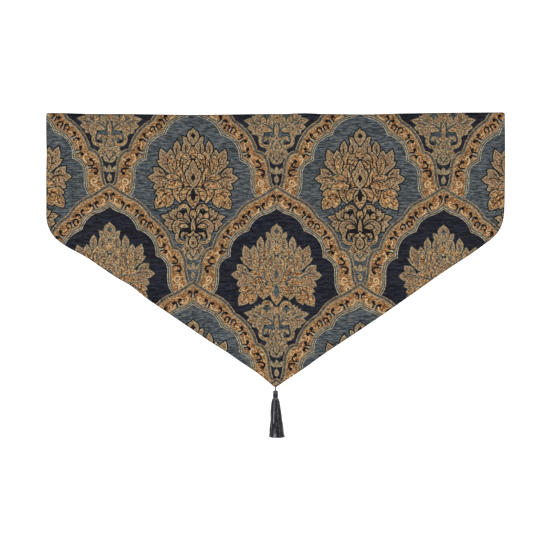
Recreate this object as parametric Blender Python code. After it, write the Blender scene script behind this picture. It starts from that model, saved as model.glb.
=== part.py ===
"""Ascot valance: a flat jacquard panel that hangs to a point, with a tassel on a short cord at its tip.

Metres, +Z up. The origin is the middle of the top edge, and the patterned face looks along -Y.
"""

import math
import random

import bmesh
import bpy
from mathutils import Vector
from mathutils.geometry import delaunay_2d_cdt

# The panel's outline, before it sags.
PANEL_WIDTH = 1.2192
SHOULDER_DROP = 0.308
POINT_DROP = 0.7245
LEFT_SHOULDER_RADIUS = 0.072
RIGHT_SHOULDER_RADIUS = 0.093
TOP_CORNER_RADIUS = 0.005
TIP_WIDTH = 0.0064

# The cloth: its middle, and the turned edge that holds the seam allowance.
CLOTH_THICKNESS = 0.0024
HEM_THICKNESS = 0.0036
EDGE_PROFILE = [
    {"inset": 0.0, "half_thickness": 0.0008},
    {"inset": 0.0006, "half_thickness": 0.0014},
    {"inset": 0.0018, "half_thickness": HEM_THICKNESS / 2},
    {"inset": 0.0115, "half_thickness": HEM_THICKNESS / 2},
    {"inset": 0.0150, "half_thickness": CLOTH_THICKNESS / 2},
]
TIP_BULGE = 0.0022
TIP_BULGE_REACH = 0.034
RING_STEP = 0.030
ARC_STEP = 0.012
GRID_PITCH = 0.034
GRID_CLEARANCE = 0.012

# How the hung cloth departs from a flat sheet.
# Ripples run down the drop: forward is how far the crest stands towards the viewer at the hem's height.
RIPPLES = [
    {"x": -0.560, "half_width": 0.085, "forward": -0.0060, "lean": 0.03, "starts": 0.02},
    {"x": -0.410, "half_width": 0.100, "forward": 0.0050, "lean": 0.10, "starts": 0.06},
    {"x": -0.235, "half_width": 0.110, "forward": -0.0035, "lean": 0.12, "starts": 0.00},
    {"x": -0.040, "half_width": 0.130, "forward": 0.0045, "lean": 0.02, "starts": 0.16},
    {"x": 0.190, "half_width": 0.105, "forward": -0.0040, "lean": -0.09, "starts": 0.03},
    {"x": 0.385, "half_width": 0.095, "forward": 0.0055, "lean": -0.13, "starts": 0.08},
    {"x": 0.545, "half_width": 0.080, "forward": -0.0055, "lean": -0.02, "starts": 0.00},
]
RIPPLE_FULL_DROP = 0.30
# Shallow sags of the top edge between the places where it is held, and its raised ends.
TOP_SAGS = [
    {"x": -0.580, "half_width": 0.110, "sag": -0.0026},
    {"x": -0.215, "half_width": 0.200, "sag": 0.0022},
    {"x": 0.075, "half_width": 0.060, "sag": -0.0022},
    {"x": 0.245, "half_width": 0.110, "sag": 0.0014},
    {"x": 0.590, "half_width": 0.430, "sag": -0.0042},
]
TOP_SAG_FADE = 0.16
# Small drifts of the cut edges within the cloth's own plane.
DRIFTS = [
    {"x": -0.560, "z": -0.335, "reach": 0.085, "side": -0.0020, "lift": -0.0072},
    {"x": -0.385, "z": -0.464, "reach": 0.062, "side": 0.0010, "lift": 0.0042},
    {"x": -0.122, "z": -0.644, "reach": 0.066, "side": 0.0, "lift": 0.0028},
    {"x": -0.055, "z": -0.690, "reach": 0.070, "side": 0.0010, "lift": 0.0042},
    {"x": 0.260, "z": -0.548, "reach": 0.330, "side": 0.0008, "lift": -0.0034},
    {"x": 0.080, "z": -0.672, "reach": 0.075, "side": 0.0, "lift": -0.0022},
    {"x": 0.520, "z": -0.365, "reach": 0.110, "side": 0.0006, "lift": -0.0030},
    {"x": -0.609, "z": -0.110, "reach": 0.060, "side": 0.0010, "lift": 0.0},
    {"x": 0.609, "z": -0.105, "reach": 0.120, "side": 0.0010, "lift": 0.0},
    {"x": 0.609, "z": -0.270, "reach": 0.050, "side": -0.0014, "lift": 0.0},
]

# The tassel, with heights below the panel's tip.
CORD_DIAMETER = 0.0034
CORD_PLY_RELIEF = 0.00035
CORD_TWIST_PITCH = 0.0085
CORD_SIDES = 12
CORD_STEP = 0.0012
CORD_IN_PANEL = 0.0095
CORD_IN_HEAD = 0.0060
CLEARANCE = 0.0003
CUTTER_OVERRUN = 0.003
HEAD_TOP = 0.0122
HEAD_HEIGHT = 0.0190
HEAD_SIDES = 24
BINDING_TURNS = 4
BINDING_STEPS_A_TURN = 4
BINDING_RADIUS = 0.0060
BINDING_INNER_RADIUS = 0.0047
BINDING_RELIEF = 0.0006
BINDING_TOP_DROP = 0.0082
BINDING_BOTTOM_DROP = 0.0178
SKIRT_LENGTH = 0.1050
SKIRT_ROOT_RADIUS = 0.0056
SKIRT_FLARE = 0.0045
SKIRT_FLARE_REACH = 0.0060
SKIRT_SLOPE = 0.106
SKIRT_SWAY = 0.0036
# The head's outer side below its top. The binding sits in its groove.
HEAD_PROFILE = [
    {"drop": 0.0000, "radius": 0.0032},
    {"drop": 0.0006, "radius": 0.0044},
    {"drop": 0.0020, "radius": 0.0055},
    {"drop": 0.0038, "radius": 0.0059},
    {"drop": 0.0056, "radius": 0.0055},
    {"drop": 0.0072, "radius": 0.0050},
    {"drop": BINDING_TOP_DROP - CLEARANCE, "radius": BINDING_INNER_RADIUS - CLEARANCE},
    {"drop": BINDING_BOTTOM_DROP + CLEARANCE, "radius": BINDING_INNER_RADIUS - CLEARANCE},
    {"drop": 0.0184, "radius": SKIRT_ROOT_RADIUS},
    {"drop": HEAD_HEIGHT, "radius": SKIRT_ROOT_RADIUS},
]
# The skirt's locks: rings about its middle, each at a share of its radius.
LOCK_RINGS = [
    {"share": 0.91, "locks": 34},
    {"share": 0.73, "locks": 27},
    {"share": 0.55, "locks": 20},
    {"share": 0.37, "locks": 13},
    {"share": 0.19, "locks": 6},
    {"share": 0.00, "locks": 1},
]
LOCK_SHARE = 0.118
LOCK_STEPS = [0.0, 0.05, 0.12, 0.24, 0.40, 0.58, 0.78, 1.0]
LOCK_RAGGED = 0.0022
LOCK_WAVE = 0.0009
LOCK_WAVE_LENGTH = 0.060
LOCK_WAVE_LENGTH_DEEP = 0.075
LOCK_WAVE_SPREAD = 0.9
LOCK_WAVE_START_DEEP = 1.0
SEED = 7

# Linear colours.
COLOURS = {
    "jacquard": {"rgb": (0.115, 0.092, 0.070), "roughness": 0.85},
    "tassel_cord": {"rgb": (0.050, 0.058, 0.068), "roughness": 0.55},
    "tassel_yarn": {"rgb": (0.030, 0.032, 0.036), "roughness": 0.50},
    "tassel_binding": {"rgb": (0.016, 0.017, 0.042), "roughness": 0.50},
}


def clear_scene():
    for old in list(bpy.data.objects):
        bpy.data.objects.remove(old)


def make_material(name):
    look = COLOURS[name]
    material = bpy.data.materials.new(name)
    material.use_nodes = True
    shader = material.node_tree.nodes["Principled BSDF"]
    shader.inputs["Base Color"].default_value = (*look["rgb"], 1.0)
    shader.inputs["Roughness"].default_value = look["roughness"]
    shader.inputs["Metallic"].default_value = 0.0
    return material


def make_object(name, points, faces, material, smooth_angle=math.radians(40)):
    """One closed mesh object, its faces turned outwards."""
    mesh = bpy.data.meshes.new(name)
    mesh.from_pydata(points, [], faces)
    work = bmesh.new()
    work.from_mesh(mesh)
    bmesh.ops.recalc_face_normals(work, faces=work.faces)
    work.to_mesh(mesh)
    work.free()
    mesh.shade_smooth()
    mesh.set_sharp_from_angle(angle=smooth_angle)
    mesh.materials.append(material)
    made = bpy.data.objects.new(name, mesh)
    bpy.context.scene.collection.objects.link(made)
    return made


def smooth(share):
    """0 to 1 with a soft start and end."""
    share = max(0.0, min(1.0, share))
    return share * share * (3 - 2 * share)


def bump(distance, reach):
    """1 at no distance, falling softly to 0 at the reach."""
    return smooth(1 - abs(distance) / reach)


def interpolate(table, column, along, value):
    """The table's column, read between its rows by the value of another column."""
    for low, high in zip(table, table[1:]):
        if value <= high[along]:
            share = (value - low[along]) / (high[along] - low[along])
            return low[column] + max(0.0, share) * (high[column] - low[column])
    return table[-1][column]


def rounded_corner(before, corner, after, radius, step):
    """Points along an arc that rounds one corner of an outline."""
    incoming = (corner - before).normalized()
    outgoing = (after - corner).normalized()
    turn = incoming.angle(outgoing)
    cut = radius * math.tan(turn / 2)
    start = corner - incoming * cut
    side = 1 if incoming.cross(outgoing) > 0 else -1
    centre = start + Vector((-incoming.y, incoming.x)) * side * radius
    count = max(3, math.ceil(radius * turn / step))
    points = []
    for i in range(count + 1):
        angle = side * turn * i / count
        spoke = start - centre
        points.append(centre + Vector((
            spoke.x * math.cos(angle) - spoke.y * math.sin(angle),
            spoke.x * math.sin(angle) + spoke.y * math.cos(angle),
        )))
    return points


def flat_outline():
    """The cut outline as (x, z), counter-clockwise as the viewer sees it, from the top left corner down."""
    half = PANEL_WIDTH / 2
    rise = (POINT_DROP - SHOULDER_DROP) / half * TIP_WIDTH / 2
    corners = [
        (Vector((-half, 0)), TOP_CORNER_RADIUS),
        (Vector((-half, -SHOULDER_DROP)), LEFT_SHOULDER_RADIUS),
        (Vector((-TIP_WIDTH / 2, -POINT_DROP + rise)), 0),
        (Vector((TIP_WIDTH / 2, -POINT_DROP + rise)), 0),
        (Vector((half, -SHOULDER_DROP)), RIGHT_SHOULDER_RADIUS),
        (Vector((half, 0)), TOP_CORNER_RADIUS),
    ]
    points = []
    for i, (corner, radius) in enumerate(corners):
        before = corners[i - 1][0]
        after = corners[(i + 1) % len(corners)][0]
        if radius:
            points += rounded_corner(before, corner, after, radius, ARC_STEP)
        else:
            points.append(corner)
    return points


def edges_of(ring):
    return [(a, b) for a, b in zip(ring, ring[1:] + ring[:1]) if (b - a).length > 1e-7]


def inward(a, b):
    """The unit normal that points into an outline that runs counter-clockwise."""
    along = (b - a).normalized()
    return Vector((-along.y, along.x))


def edge_distance(point, ring_edges):
    """How far a point lies inside a convex outline."""
    return min((point - a).dot(inward(a, b)) for a, b in ring_edges)


def inset(ring, distance):
    """The convex outline moved inwards by a distance: each edge's line clips what lies outside it."""
    kept = list(ring)
    for a, b in edges_of(ring):
        normal = inward(a, b)
        offset = a.dot(normal) + distance
        clipped = []
        for p, q in zip(kept, kept[1:] + kept[:1]):
            p_in = p.dot(normal) - offset
            q_in = q.dot(normal) - offset
            if p_in >= 0:
                clipped.append(p)
            if (p_in >= 0) != (q_in >= 0):
                clipped.append(p.lerp(q, p_in / (p_in - q_in)))
        kept = clipped
    return [a for a, _ in edges_of(kept)]


def resample(ring, step):
    """The same outline, with its long edges divided."""
    points = []
    for a, b in edges_of(ring):
        count = max(1, round((b - a).length / step))
        points += [a.lerp(b, i / count) for i in range(count)]
    return points


def forward_of(x, z):
    """How far the hung cloth stands out of its own plane, towards the viewer."""
    drop = -z
    out = 0.0
    for ripple in RIPPLES:
        centre = ripple["x"] + ripple["lean"] * drop
        growth = smooth((drop - ripple["starts"]) / RIPPLE_FULL_DROP)
        out += ripple["forward"] * growth * bump(x - centre, ripple["half_width"])
    return out


def hang(x, z):
    """Where a point (x, z) of the flat cut hangs."""
    sag = sum(row["sag"] * bump(x - row["x"], row["half_width"]) for row in TOP_SAGS)
    moved_x = x
    moved_z = z - sag * bump(z, TOP_SAG_FADE)
    for row in DRIFTS:
        share = bump(math.hypot(x - row["x"], z - row["z"]), row["reach"])
        moved_x += row["side"] * share
        moved_z += row["lift"] * share
    return Vector((moved_x, -forward_of(x, z), moved_z))


def tip_point():
    """The middle of the panel's tip, as it hangs."""
    rise = (POINT_DROP - SHOULDER_DROP) / (PANEL_WIDTH / 2) * TIP_WIDTH / 2
    return hang(0, -POINT_DROP + rise)


def half_thickness(x, z, distance):
    """Half the cloth's thickness: thick at the turned edge, thickest where the seams meet in the tip."""
    plain = interpolate(EDGE_PROFILE, "half_thickness", "inset", distance)
    return plain + TIP_BULGE * bump(math.hypot(x, z + POINT_DROP), TIP_BULGE_REACH)


def panel_triangles(outline):
    """Flat points and triangles of one face, and how many points the rim has."""
    outline_edges = edges_of(outline)
    points = []
    constraints = []
    rim_count = 0
    for row in EDGE_PROFILE:
        ring = resample(inset(outline, row["inset"]) if row["inset"] else outline, RING_STEP)
        first = len(points)
        points += ring
        constraints += [(first + i, first + (i + 1) % len(ring)) for i in range(len(ring))]
        rim_count = rim_count or len(ring)
    inner = EDGE_PROFILE[-1]["inset"] + GRID_CLEARANCE
    columns = math.ceil(PANEL_WIDTH / 2 / GRID_PITCH)
    rows = math.ceil(POINT_DROP / GRID_PITCH)
    for row in range(rows):
        for column in range(-columns, columns + 1):
            shift = 0.5 * (row % 2)
            point = Vector(((column + shift) * GRID_PITCH, -(row + 0.5) * GRID_PITCH))
            if edge_distance(point, outline_edges) > inner:
                points.append(point)
    rim_face = list(range(rim_count))
    flat, _, triangles, _, _, _ = delaunay_2d_cdt(points, constraints, [rim_face], 1, 1e-7)
    return flat, triangles


def build_panel(material):
    outline = flat_outline()
    outline_edges = edges_of(outline)
    flat, triangles = panel_triangles(outline)
    front, back = [], []
    for point in flat:
        centre = hang(point.x, point.y)
        distance = max(0.0, edge_distance(point, outline_edges))
        depth = Vector((0, half_thickness(point.x, point.y, distance), 0))
        front.append(centre - depth)
        back.append(centre + depth)
    count = len(flat)
    faces = [tuple(t) for t in triangles]
    used = {edge for a, b, c in faces for edge in ((a, b), (b, c), (c, a))}
    rim = [(a, b) for a, b in sorted(used) if (b, a) not in used]
    faces += [(count + a, count + c, count + b) for a, b, c in triangles]
    faces += [(b, a, count + a, count + b) for a, b in rim]
    panel = make_object("panel", front + back, faces, material)
    cut_cord_pocket(panel)
    return panel


def cut_cord_pocket(panel):
    """A blind hole in the tip, between the cloth's layers, that takes the sewn-in end of the cord."""
    radius = CORD_DIAMETER / 2 + CLEARANCE
    depth = CORD_IN_PANEL + CLEARANCE
    profile = [(0, -CUTTER_OVERRUN), (radius, -CUTTER_OVERRUN), (radius, depth), (0, depth)]
    points, faces = lathe_shape(profile, CORD_SIDES, tip_point())
    cutter = make_object("cord_pocket_cutter", points, faces, panel.data.materials[0])
    cut = panel.modifiers.new("cord_pocket", "BOOLEAN")
    cut.operation = "DIFFERENCE"
    cut.solver = "EXACT"
    cut.object = cutter
    cutter.hide_render = True
    cutter.display_type = "WIRE"


def lathe_shape(profile, sides, base):
    """Points and faces of a profile of (radius, height) turned about an upright axis. Both ends lie on the axis."""
    points, faces, rings = [], [], []
    for radius, height in profile:
        if radius < 1e-7:
            rings.append([len(points)])
            points.append(base + Vector((0, 0, height)))
            continue
        rings.append(list(range(len(points), len(points) + sides)))
        for i in range(sides):
            angle = 2 * math.pi * i / sides
            points.append(base + Vector((radius * math.cos(angle), radius * math.sin(angle), height)))
    for low, high in zip(rings, rings[1:]):
        for i in range(sides):
            j = (i + 1) % sides
            if len(low) == 1:
                faces.append((low[0], high[j], high[i]))
            elif len(high) == 1:
                faces.append((low[i], low[j], high[0]))
            else:
                faces.append((low[i], low[j], high[j], high[i]))
    return points, faces


def build_cord(material):
    """The two-ply cord, from its sewn end in the tip down into the tassel's head."""
    tip = tip_point()
    top = tip.z + CORD_IN_PANEL
    bottom = tip.z - HEAD_TOP - CORD_IN_HEAD
    steps = math.ceil((top - bottom) / CORD_STEP)
    points = []
    for k in range(steps + 1):
        height = bottom + (top - bottom) * k / steps
        twist = 2 * math.pi * height / CORD_TWIST_PITCH
        for i in range(CORD_SIDES):
            angle = 2 * math.pi * i / CORD_SIDES
            dip = CORD_PLY_RELIEF * (1 - math.cos(2 * (angle - twist)))
            radius = CORD_DIAMETER / 2 - dip
            points.append(Vector((tip.x + radius * math.cos(angle), tip.y + radius * math.sin(angle), height)))
    faces = [tuple(range(CORD_SIDES))]
    for k in range(steps):
        for i in range(CORD_SIDES):
            j = (i + 1) % CORD_SIDES
            low, high = k * CORD_SIDES, (k + 1) * CORD_SIDES
            faces.append((low + i, low + j, high + j, high + i))
    faces.append(tuple(steps * CORD_SIDES + i for i in range(CORD_SIDES)))
    return make_object("tassel_cord", points, faces, material)


def build_binding(material):
    """The wound band about the head's neck, its turns raised."""
    top = tip_point() - Vector((0, 0, HEAD_TOP))
    turn = (BINDING_BOTTOM_DROP - BINDING_TOP_DROP) / BINDING_TURNS
    outer = []
    for i in range(BINDING_TURNS * BINDING_STEPS_A_TURN + 1):
        turns = i / BINDING_STEPS_A_TURN
        radius = BINDING_RADIUS - BINDING_RELIEF * (1 - abs(math.sin(math.pi * turns)))
        outer.append((radius, turn * turns - BINDING_BOTTOM_DROP))
    inner = [(BINDING_INNER_RADIUS, -BINDING_TOP_DROP), (BINDING_INNER_RADIUS, -BINDING_BOTTOM_DROP)]
    profile = outer + inner
    points, faces = [], []
    for radius, height in profile:
        for i in range(HEAD_SIDES):
            angle = 2 * math.pi * i / HEAD_SIDES
            points.append(top + Vector((radius * math.cos(angle), radius * math.sin(angle), height)))
    for k in range(len(profile)):
        low, high = k * HEAD_SIDES, (k + 1) % len(profile) * HEAD_SIDES
        for i in range(HEAD_SIDES):
            j = (i + 1) % HEAD_SIDES
            faces.append((low + i, low + j, high + j, high + i))
    return make_object("tassel_binding", points, faces, material)


def skirt_radius(drop):
    """The skirt's outer radius at a drop below its root."""
    flare = SKIRT_FLARE * (1 - math.exp(-drop / SKIRT_FLARE_REACH))
    return SKIRT_ROOT_RADIUS + flare + SKIRT_SLOPE * drop


def skirt_warp(point, drop):
    """Sways and waves the skirt's whole cross-section, so that its locks keep apart."""
    wave = LOCK_WAVE * smooth(drop / SKIRT_LENGTH)
    phase = 2 * math.pi * drop / LOCK_WAVE_LENGTH
    phase_deep = 2 * math.pi * drop / LOCK_WAVE_LENGTH_DEEP + LOCK_WAVE_START_DEEP
    spread = LOCK_WAVE_SPREAD / SKIRT_ROOT_RADIUS
    sway = SKIRT_SWAY * (drop / SKIRT_LENGTH) ** 1.5
    return point + Vector((
        sway + wave * math.sin(phase + spread * point.y),
        wave * math.sin(phase_deep + spread * point.x),
        0,
    ))


def lock_rows():
    """Each lock's place in the skirt: its share of the radius, its angle and its length."""
    chance = random.Random(SEED)
    rows = []
    for k, ring in enumerate(LOCK_RINGS):
        for i in range(ring["locks"]):
            angle = 2 * math.pi * (i + 0.5 * (k % 2)) / ring["locks"]
            length = SKIRT_LENGTH - LOCK_RAGGED * chance.random()
            rows.append({"share": ring["share"], "angle": angle, "length": length})
    return rows


def lock_ring(row, drop, root):
    """The four corners of a lock's section at a drop below the root."""
    radius = skirt_radius(drop) / (1 + LOCK_SHARE / 2)
    out = Vector((math.cos(row["angle"]), math.sin(row["angle"]), 0))
    side = Vector((-out.y, out.x, 0))
    half = LOCK_SHARE * radius / 2
    centre = out * row["share"] * radius
    corners = []
    for a, b in ((-1, -1), (1, -1), (1, 1), (-1, 1)):
        flat = centre + out * half * a + side * half * b
        corners.append(root + skirt_warp(flat, drop) + Vector((0, 0, -drop)))
    return corners


def build_tassel(material):
    """The head and the skirt as one solid: each lock grows from its own root in the head's underside."""
    top = tip_point() - Vector((0, 0, HEAD_TOP))
    root = top - Vector((0, 0, HEAD_HEIGHT))
    pocket = CORD_DIAMETER / 2 + CLEARANCE
    depth = CORD_IN_HEAD + CLEARANCE
    profile = [(0, -depth), (pocket, -depth), (pocket, 0)]
    profile += [(row["radius"], -row["drop"]) for row in HEAD_PROFILE]
    points, faces = lathe_shape(profile, HEAD_SIDES, top)
    rim = list(range(len(points) - HEAD_SIDES, len(points)))

    flat = [points[i].to_2d() for i in rim]
    sources = list(rim)
    edges = [(i, (i + 1) % HEAD_SIDES) for i in range(HEAD_SIDES)]
    root_faces = []
    for row in lock_rows():
        rings = [lock_ring(row, 0.0, root)]
        rings += [lock_ring(row, row["length"] * share, root) for share in LOCK_STEPS[1:]]
        first = len(points)
        for ring in rings:
            points += ring
        for k in range(len(rings) - 1):
            low, high = first + 4 * k, first + 4 * (k + 1)
            faces += [(low + i, low + (i + 1) % 4, high + (i + 1) % 4, high + i) for i in range(4)]
        last = first + 4 * (len(rings) - 1)
        faces.append(tuple(range(last, last + 4)))
        start = len(flat)
        flat += [corner.to_2d() for corner in rings[0]]
        sources += list(range(first, first + 4))
        edges += [(start + i, start + (i + 1) % 4) for i in range(4)]
        root_faces.append(list(range(start, start + 4)))
    underside = [list(range(HEAD_SIDES))] + root_faces
    _, _, triangles, _, _, owners = delaunay_2d_cdt(flat, edges, underside, 1, 1e-8)
    for triangle, owner in zip(triangles, owners):
        if owner == [0]:
            faces.append(tuple(sources[i] for i in triangle))
    return make_object("tassel", points, faces, material)


def main():
    clear_scene()
    build_panel(make_material("jacquard"))
    build_cord(make_material("tassel_cord"))
    build_binding(make_material("tassel_binding"))
    build_tassel(make_material("tassel_yarn"))


main()
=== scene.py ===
"""Ascot valance: the looks of the jacquard panel and its tassel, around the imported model."""

import math
import random

import bpy
import numpy as np
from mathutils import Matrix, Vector
from mathutils.geometry import delaunay_2d_cdt


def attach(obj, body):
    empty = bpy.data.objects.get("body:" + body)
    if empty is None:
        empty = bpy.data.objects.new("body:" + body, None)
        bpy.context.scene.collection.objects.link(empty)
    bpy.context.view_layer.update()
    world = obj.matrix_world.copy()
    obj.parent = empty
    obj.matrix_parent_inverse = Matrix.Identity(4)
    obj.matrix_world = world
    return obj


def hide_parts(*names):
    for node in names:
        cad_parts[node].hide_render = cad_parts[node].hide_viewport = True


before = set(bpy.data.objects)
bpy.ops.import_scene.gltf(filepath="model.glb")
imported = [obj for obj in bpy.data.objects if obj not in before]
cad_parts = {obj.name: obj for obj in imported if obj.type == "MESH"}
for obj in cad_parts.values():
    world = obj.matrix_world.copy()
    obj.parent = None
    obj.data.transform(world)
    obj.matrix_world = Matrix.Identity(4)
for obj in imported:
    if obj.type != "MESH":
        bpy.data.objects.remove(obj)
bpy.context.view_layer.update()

MM = 0.001
SEED = 11


def table(columns, *rows):
    """Rows of values under named columns."""
    return [dict(zip(columns.split(), row)) for row in rows]


# The panel's cut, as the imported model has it.
PANEL_WIDTH = 1.2192
SHOULDER_DROP = 0.308
POINT_DROP = 0.7245
LEFT_SHOULDER_RADIUS = 0.072
RIGHT_SHOULDER_RADIUS = 0.093
TOP_CORNER_RADIUS = 0.005
TIP_WIDTH = 0.0064
TIP_RISE = (POINT_DROP - SHOULDER_DROP) / PANEL_WIDTH * TIP_WIDTH
ARC_STEP = 0.006
RING_STEP = 0.012
FRONT_PITCH = 0.011
BACK_PITCH = 0.024
EDGE_PROFILE = table(
    "inset half_thickness",
    (0.0, 0.0007),
    (0.0004, 0.0012),
    (0.0012, 0.0016),
    (0.0025, 0.0018),
    (0.0115, 0.0018),
    (0.0140, 0.0012),
)
TIP_BULGE = 0.0022
TIP_BULGE_REACH = 0.034

# How the cloth hangs: the same folds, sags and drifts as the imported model's, and a slightly lower tip.
RIPPLES = table(
    "x half_width forward lean starts",
    (-0.560, 0.085, -0.0060, 0.03, 0.02),
    (-0.410, 0.100, 0.0050, 0.10, 0.06),
    (-0.235, 0.110, -0.0035, 0.12, 0.00),
    (-0.040, 0.130, 0.0045, 0.02, 0.16),
    (0.190, 0.105, -0.0040, -0.09, 0.03),
    (0.385, 0.095, 0.0055, -0.13, 0.08),
    (0.545, 0.080, -0.0055, -0.02, 0.00),
)
RIPPLE_FULL_DROP = 0.30
TOP_SAGS = table(
    "x half_width sag",
    (-0.580, 0.110, -0.0026),
    (-0.215, 0.200, 0.0022),
    (0.075, 0.060, -0.0022),
    (0.245, 0.110, 0.0014),
    (0.590, 0.430, -0.0042),
)
TOP_SAG_FADE = 0.16
DRIFTS = table(
    "x z reach side lift",
    (-0.560, -0.335, 0.085, -0.0020, -0.0072),
    (-0.385, -0.464, 0.062, 0.0010, 0.0042),
    (-0.122, -0.644, 0.066, 0.0, 0.0028),
    (-0.055, -0.690, 0.070, 0.0010, 0.0042),
    (0.260, -0.548, 0.330, 0.0008, -0.0034),
    (0.080, -0.672, 0.075, 0.0, -0.0022),
    (0.520, -0.365, 0.110, 0.0006, -0.0030),
    (-0.609, -0.110, 0.060, 0.0010, 0.0),
    (0.609, -0.105, 0.120, 0.0010, 0.0),
    (0.609, -0.270, 0.050, -0.0014, 0.0),
    (0.002, -0.722, 0.150, 0.0, -0.0026),
)

# The pattern's repeat, in metres. Rows of arches overlap like scales, each row half a column across.
COLUMN_PITCH = 0.4436
ROW_PITCH = 0.2557
PATTERN_X = 0.0028
# The weave bows: how far the pattern rises, read by the place across the panel.
WEAVE_BOW = table(
    "x lift",
    (-0.610, 0.0068),
    (-0.455, 0.0068),
    (-0.370, 0.0056),
    (-0.280, 0.0032),
    (-0.180, 0.0019),
    (0.0, 0.0016),
    (0.310, -0.0002),
    (0.610, -0.0014),
)
FIRST_NAVY_APEX_Z = -0.1895
ROWS = table(
    "row ground columns",
    (-1, "navy", (-1, 0, 1)),
    (0, "slate", (-1.5, -0.5, 0.5, 1.5)),
    (1, "navy", (-1, 0, 1)),
    (2, "slate", (-0.5, 0.5)),
    (3, "navy", (0,)),
)

# From here to the regions, sizes are in millimetres: across from a cell's axis, and down from its arch's
# apex. Half of an arch's outer edge, and half of the edge of its ground. A bulge is how far a side bows
# outwards.
OUTER_EDGE = table(
    "across down bulge",
    (0.0, 0.0, 0.0),
    (52.9, 33.1, -0.6),
    (112.0, 84.5, 7.7),
    (172.0, 165.0, 10.5),
    (196.0, 181.5, 4.0),
    (205.0, 219.0, 3.0),
    (208.6, 245.0, 0.0),
    (215.0, 259.5, -1.0),
    (221.8, 277.0, 0.0),
    (221.8, 540.0, 0.0),
)
GROUND_EDGE = table(
    "across down bulge",
    (0.0, 63.5, 0.0),
    (31.9, 80.3, -2.4),
    (72.8, 123.3, 7.7),
    (122.3, 191.9, 17.0),
    (152.8, 239.2, 12.0),
    (153.9, 257.8, 0.0),
    (168.5, 292.1, -3.5),
    (212.0, 360.0, 0.0),
    (212.0, 540.0, 0.0),
)
EDGE_STEP = 4.0
LOBE_STEP = 4.5
LOBE_BASE_FULLNESS = 0.60
LOBE_TIP_FULLNESS = 1.0
# A grown outline's corners: from which turn they are cut, how long their mitres may be, and what share of
# the distance each new point has to keep from the old outline.
SHARP_TURN = 0.9
MITRE_LIMIT = 0.25
KEPT_DISTANCE = 0.97
STROKE_FULLNESS = 0.6
INK_OUTLINE = 3.1
SHADE_OUTLINE = 1.5
PALE_EDGE = 2.3
BROAD_PALE_EDGE = 3.1
THINNEST_BODY = 1.6
# The band's lines, from its outer edge inwards, and from its ground outwards.
OUTER_LINES = table(
    "region from_edge",
    ("tan_line", 0.0),
    ("stripe", 1.9),
    ("khaki", 7.0),
    ("tan_line", 8.6),
    ("gold", 12.2),
)
INNER_LINES = table(
    "region from_ground",
    ("tan_line", 12.8),
    ("khaki", 10.4),
    ("shade", 8.4),
    ("cream", 6.7),
    ("ink", 4.5),
    ("cream", 2.3),
)

# What stands on the band: bells between two dark curls, hooked ones where the arch turns, and pale spirals.
BELLS = table(
    "across down turn hooked",
    (0.0, 37.0, 0.0, False),
    (40.0, 62.0, 28.0, False),
    (76.5, 85.0, 38.0, False),
    (99.0, 107.0, 26.0, True),
    (129.0, 136.0, 58.0, False),
    (141.0, 173.0, 76.0, False),
    (168.5, 215.0, 90.0, None),
)
BELL_OUTLINE = ((-1.1, -3.4), (1.1, -3.4), (2.0, 0.8), (2.9, 8.4), (0.0, 7.2), (-2.9, 8.4), (-2.0, 0.8))
CURL = {"out": 9.4, "up": 6.4, "half_width": 5.0, "half_height": 4.6}
STALK = {"head_out": 8.4, "waist": (3.4, -1.8), "foot": (5.6, 9.0), "width": 4.6}
HOOK = {"out": 8.6, "radius": 7.2, "width": 4.2, "sweep": 110}
HOOK_BALL = {"out": 14.5, "down": 4.0, "half_width": 3.4, "half_height": 3.2}
SWASHES = table(
    "across down turn size",
    (22.0, 54.0, 2.0, 1.0),
    (56.0, 72.5, 8.0, 1.0),
    (117.0, 117.0, 24.0, 0.9),
    (141.0, 153.0, 46.0, 0.9),
    (158.0, 192.0, 40.0, 1.0),
    (181.0, 202.0, 62.0, 0.8),
)
SWASH_LINE = ((10.0, 6.0), (-3.0, 4.0), (-8.5, -4.5))
SWASH_CURL = {"across": -5.4, "down": -6.4, "radius": 3.4, "start": 190, "end": 20, "count": 7}
FLOURISH_WIDTH = 3.4
# Darker gold patches behind the scrollwork, as ovals turned by degrees.
PATCHES = table(
    "across down half_width half_height turn",
    (24.0, 40.0, 9.0, 4.4, 34.0),
    (60.0, 61.0, 9.0, 4.4, 32.0),
    (92.0, 88.0, 7.0, 4.0, 45.0),
    (117.0, 109.0, 8.0, 4.4, 44.0),
    (137.0, 153.0, 8.0, 5.0, 60.0),
    (160.0, 171.0, 9.0, 4.4, 62.0),
    (162.0, 200.0, 9.0, 5.0, 66.0),
    (187.0, 215.0, 8.0, 4.0, 72.0),
    (170.0, 243.0, 4.6, 9.0, 0.0),
    (192.0, 262.0, 4.6, 9.0, -12.0),
    (172.0, 276.0, 4.6, 8.0, -14.0),
)
LEG_HOOKS = table(
    "path ball",
    (((165, 211), (180, 207), (173, 194)), (171.5, 194.5)),
    (((167, 217), (187, 219), (187, 231)), (184.5, 231.0)),
)
LEG_HOOK_WIDTH = 5.2
LEG_HOOK_BALL = (4.9, 4.7)
SPIRALS = table(
    "across down radius start turns",
    (181.0, 252.0, 11.0, 40.0, 1.35),
    (188.0, 274.0, 9.0, 220.0, 1.25),
    (178.0, 290.0, 7.0, 60.0, 1.2),
)
SPIRAL_POINTS = 26
SPIRAL_TIGHTENS = 0.78

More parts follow.
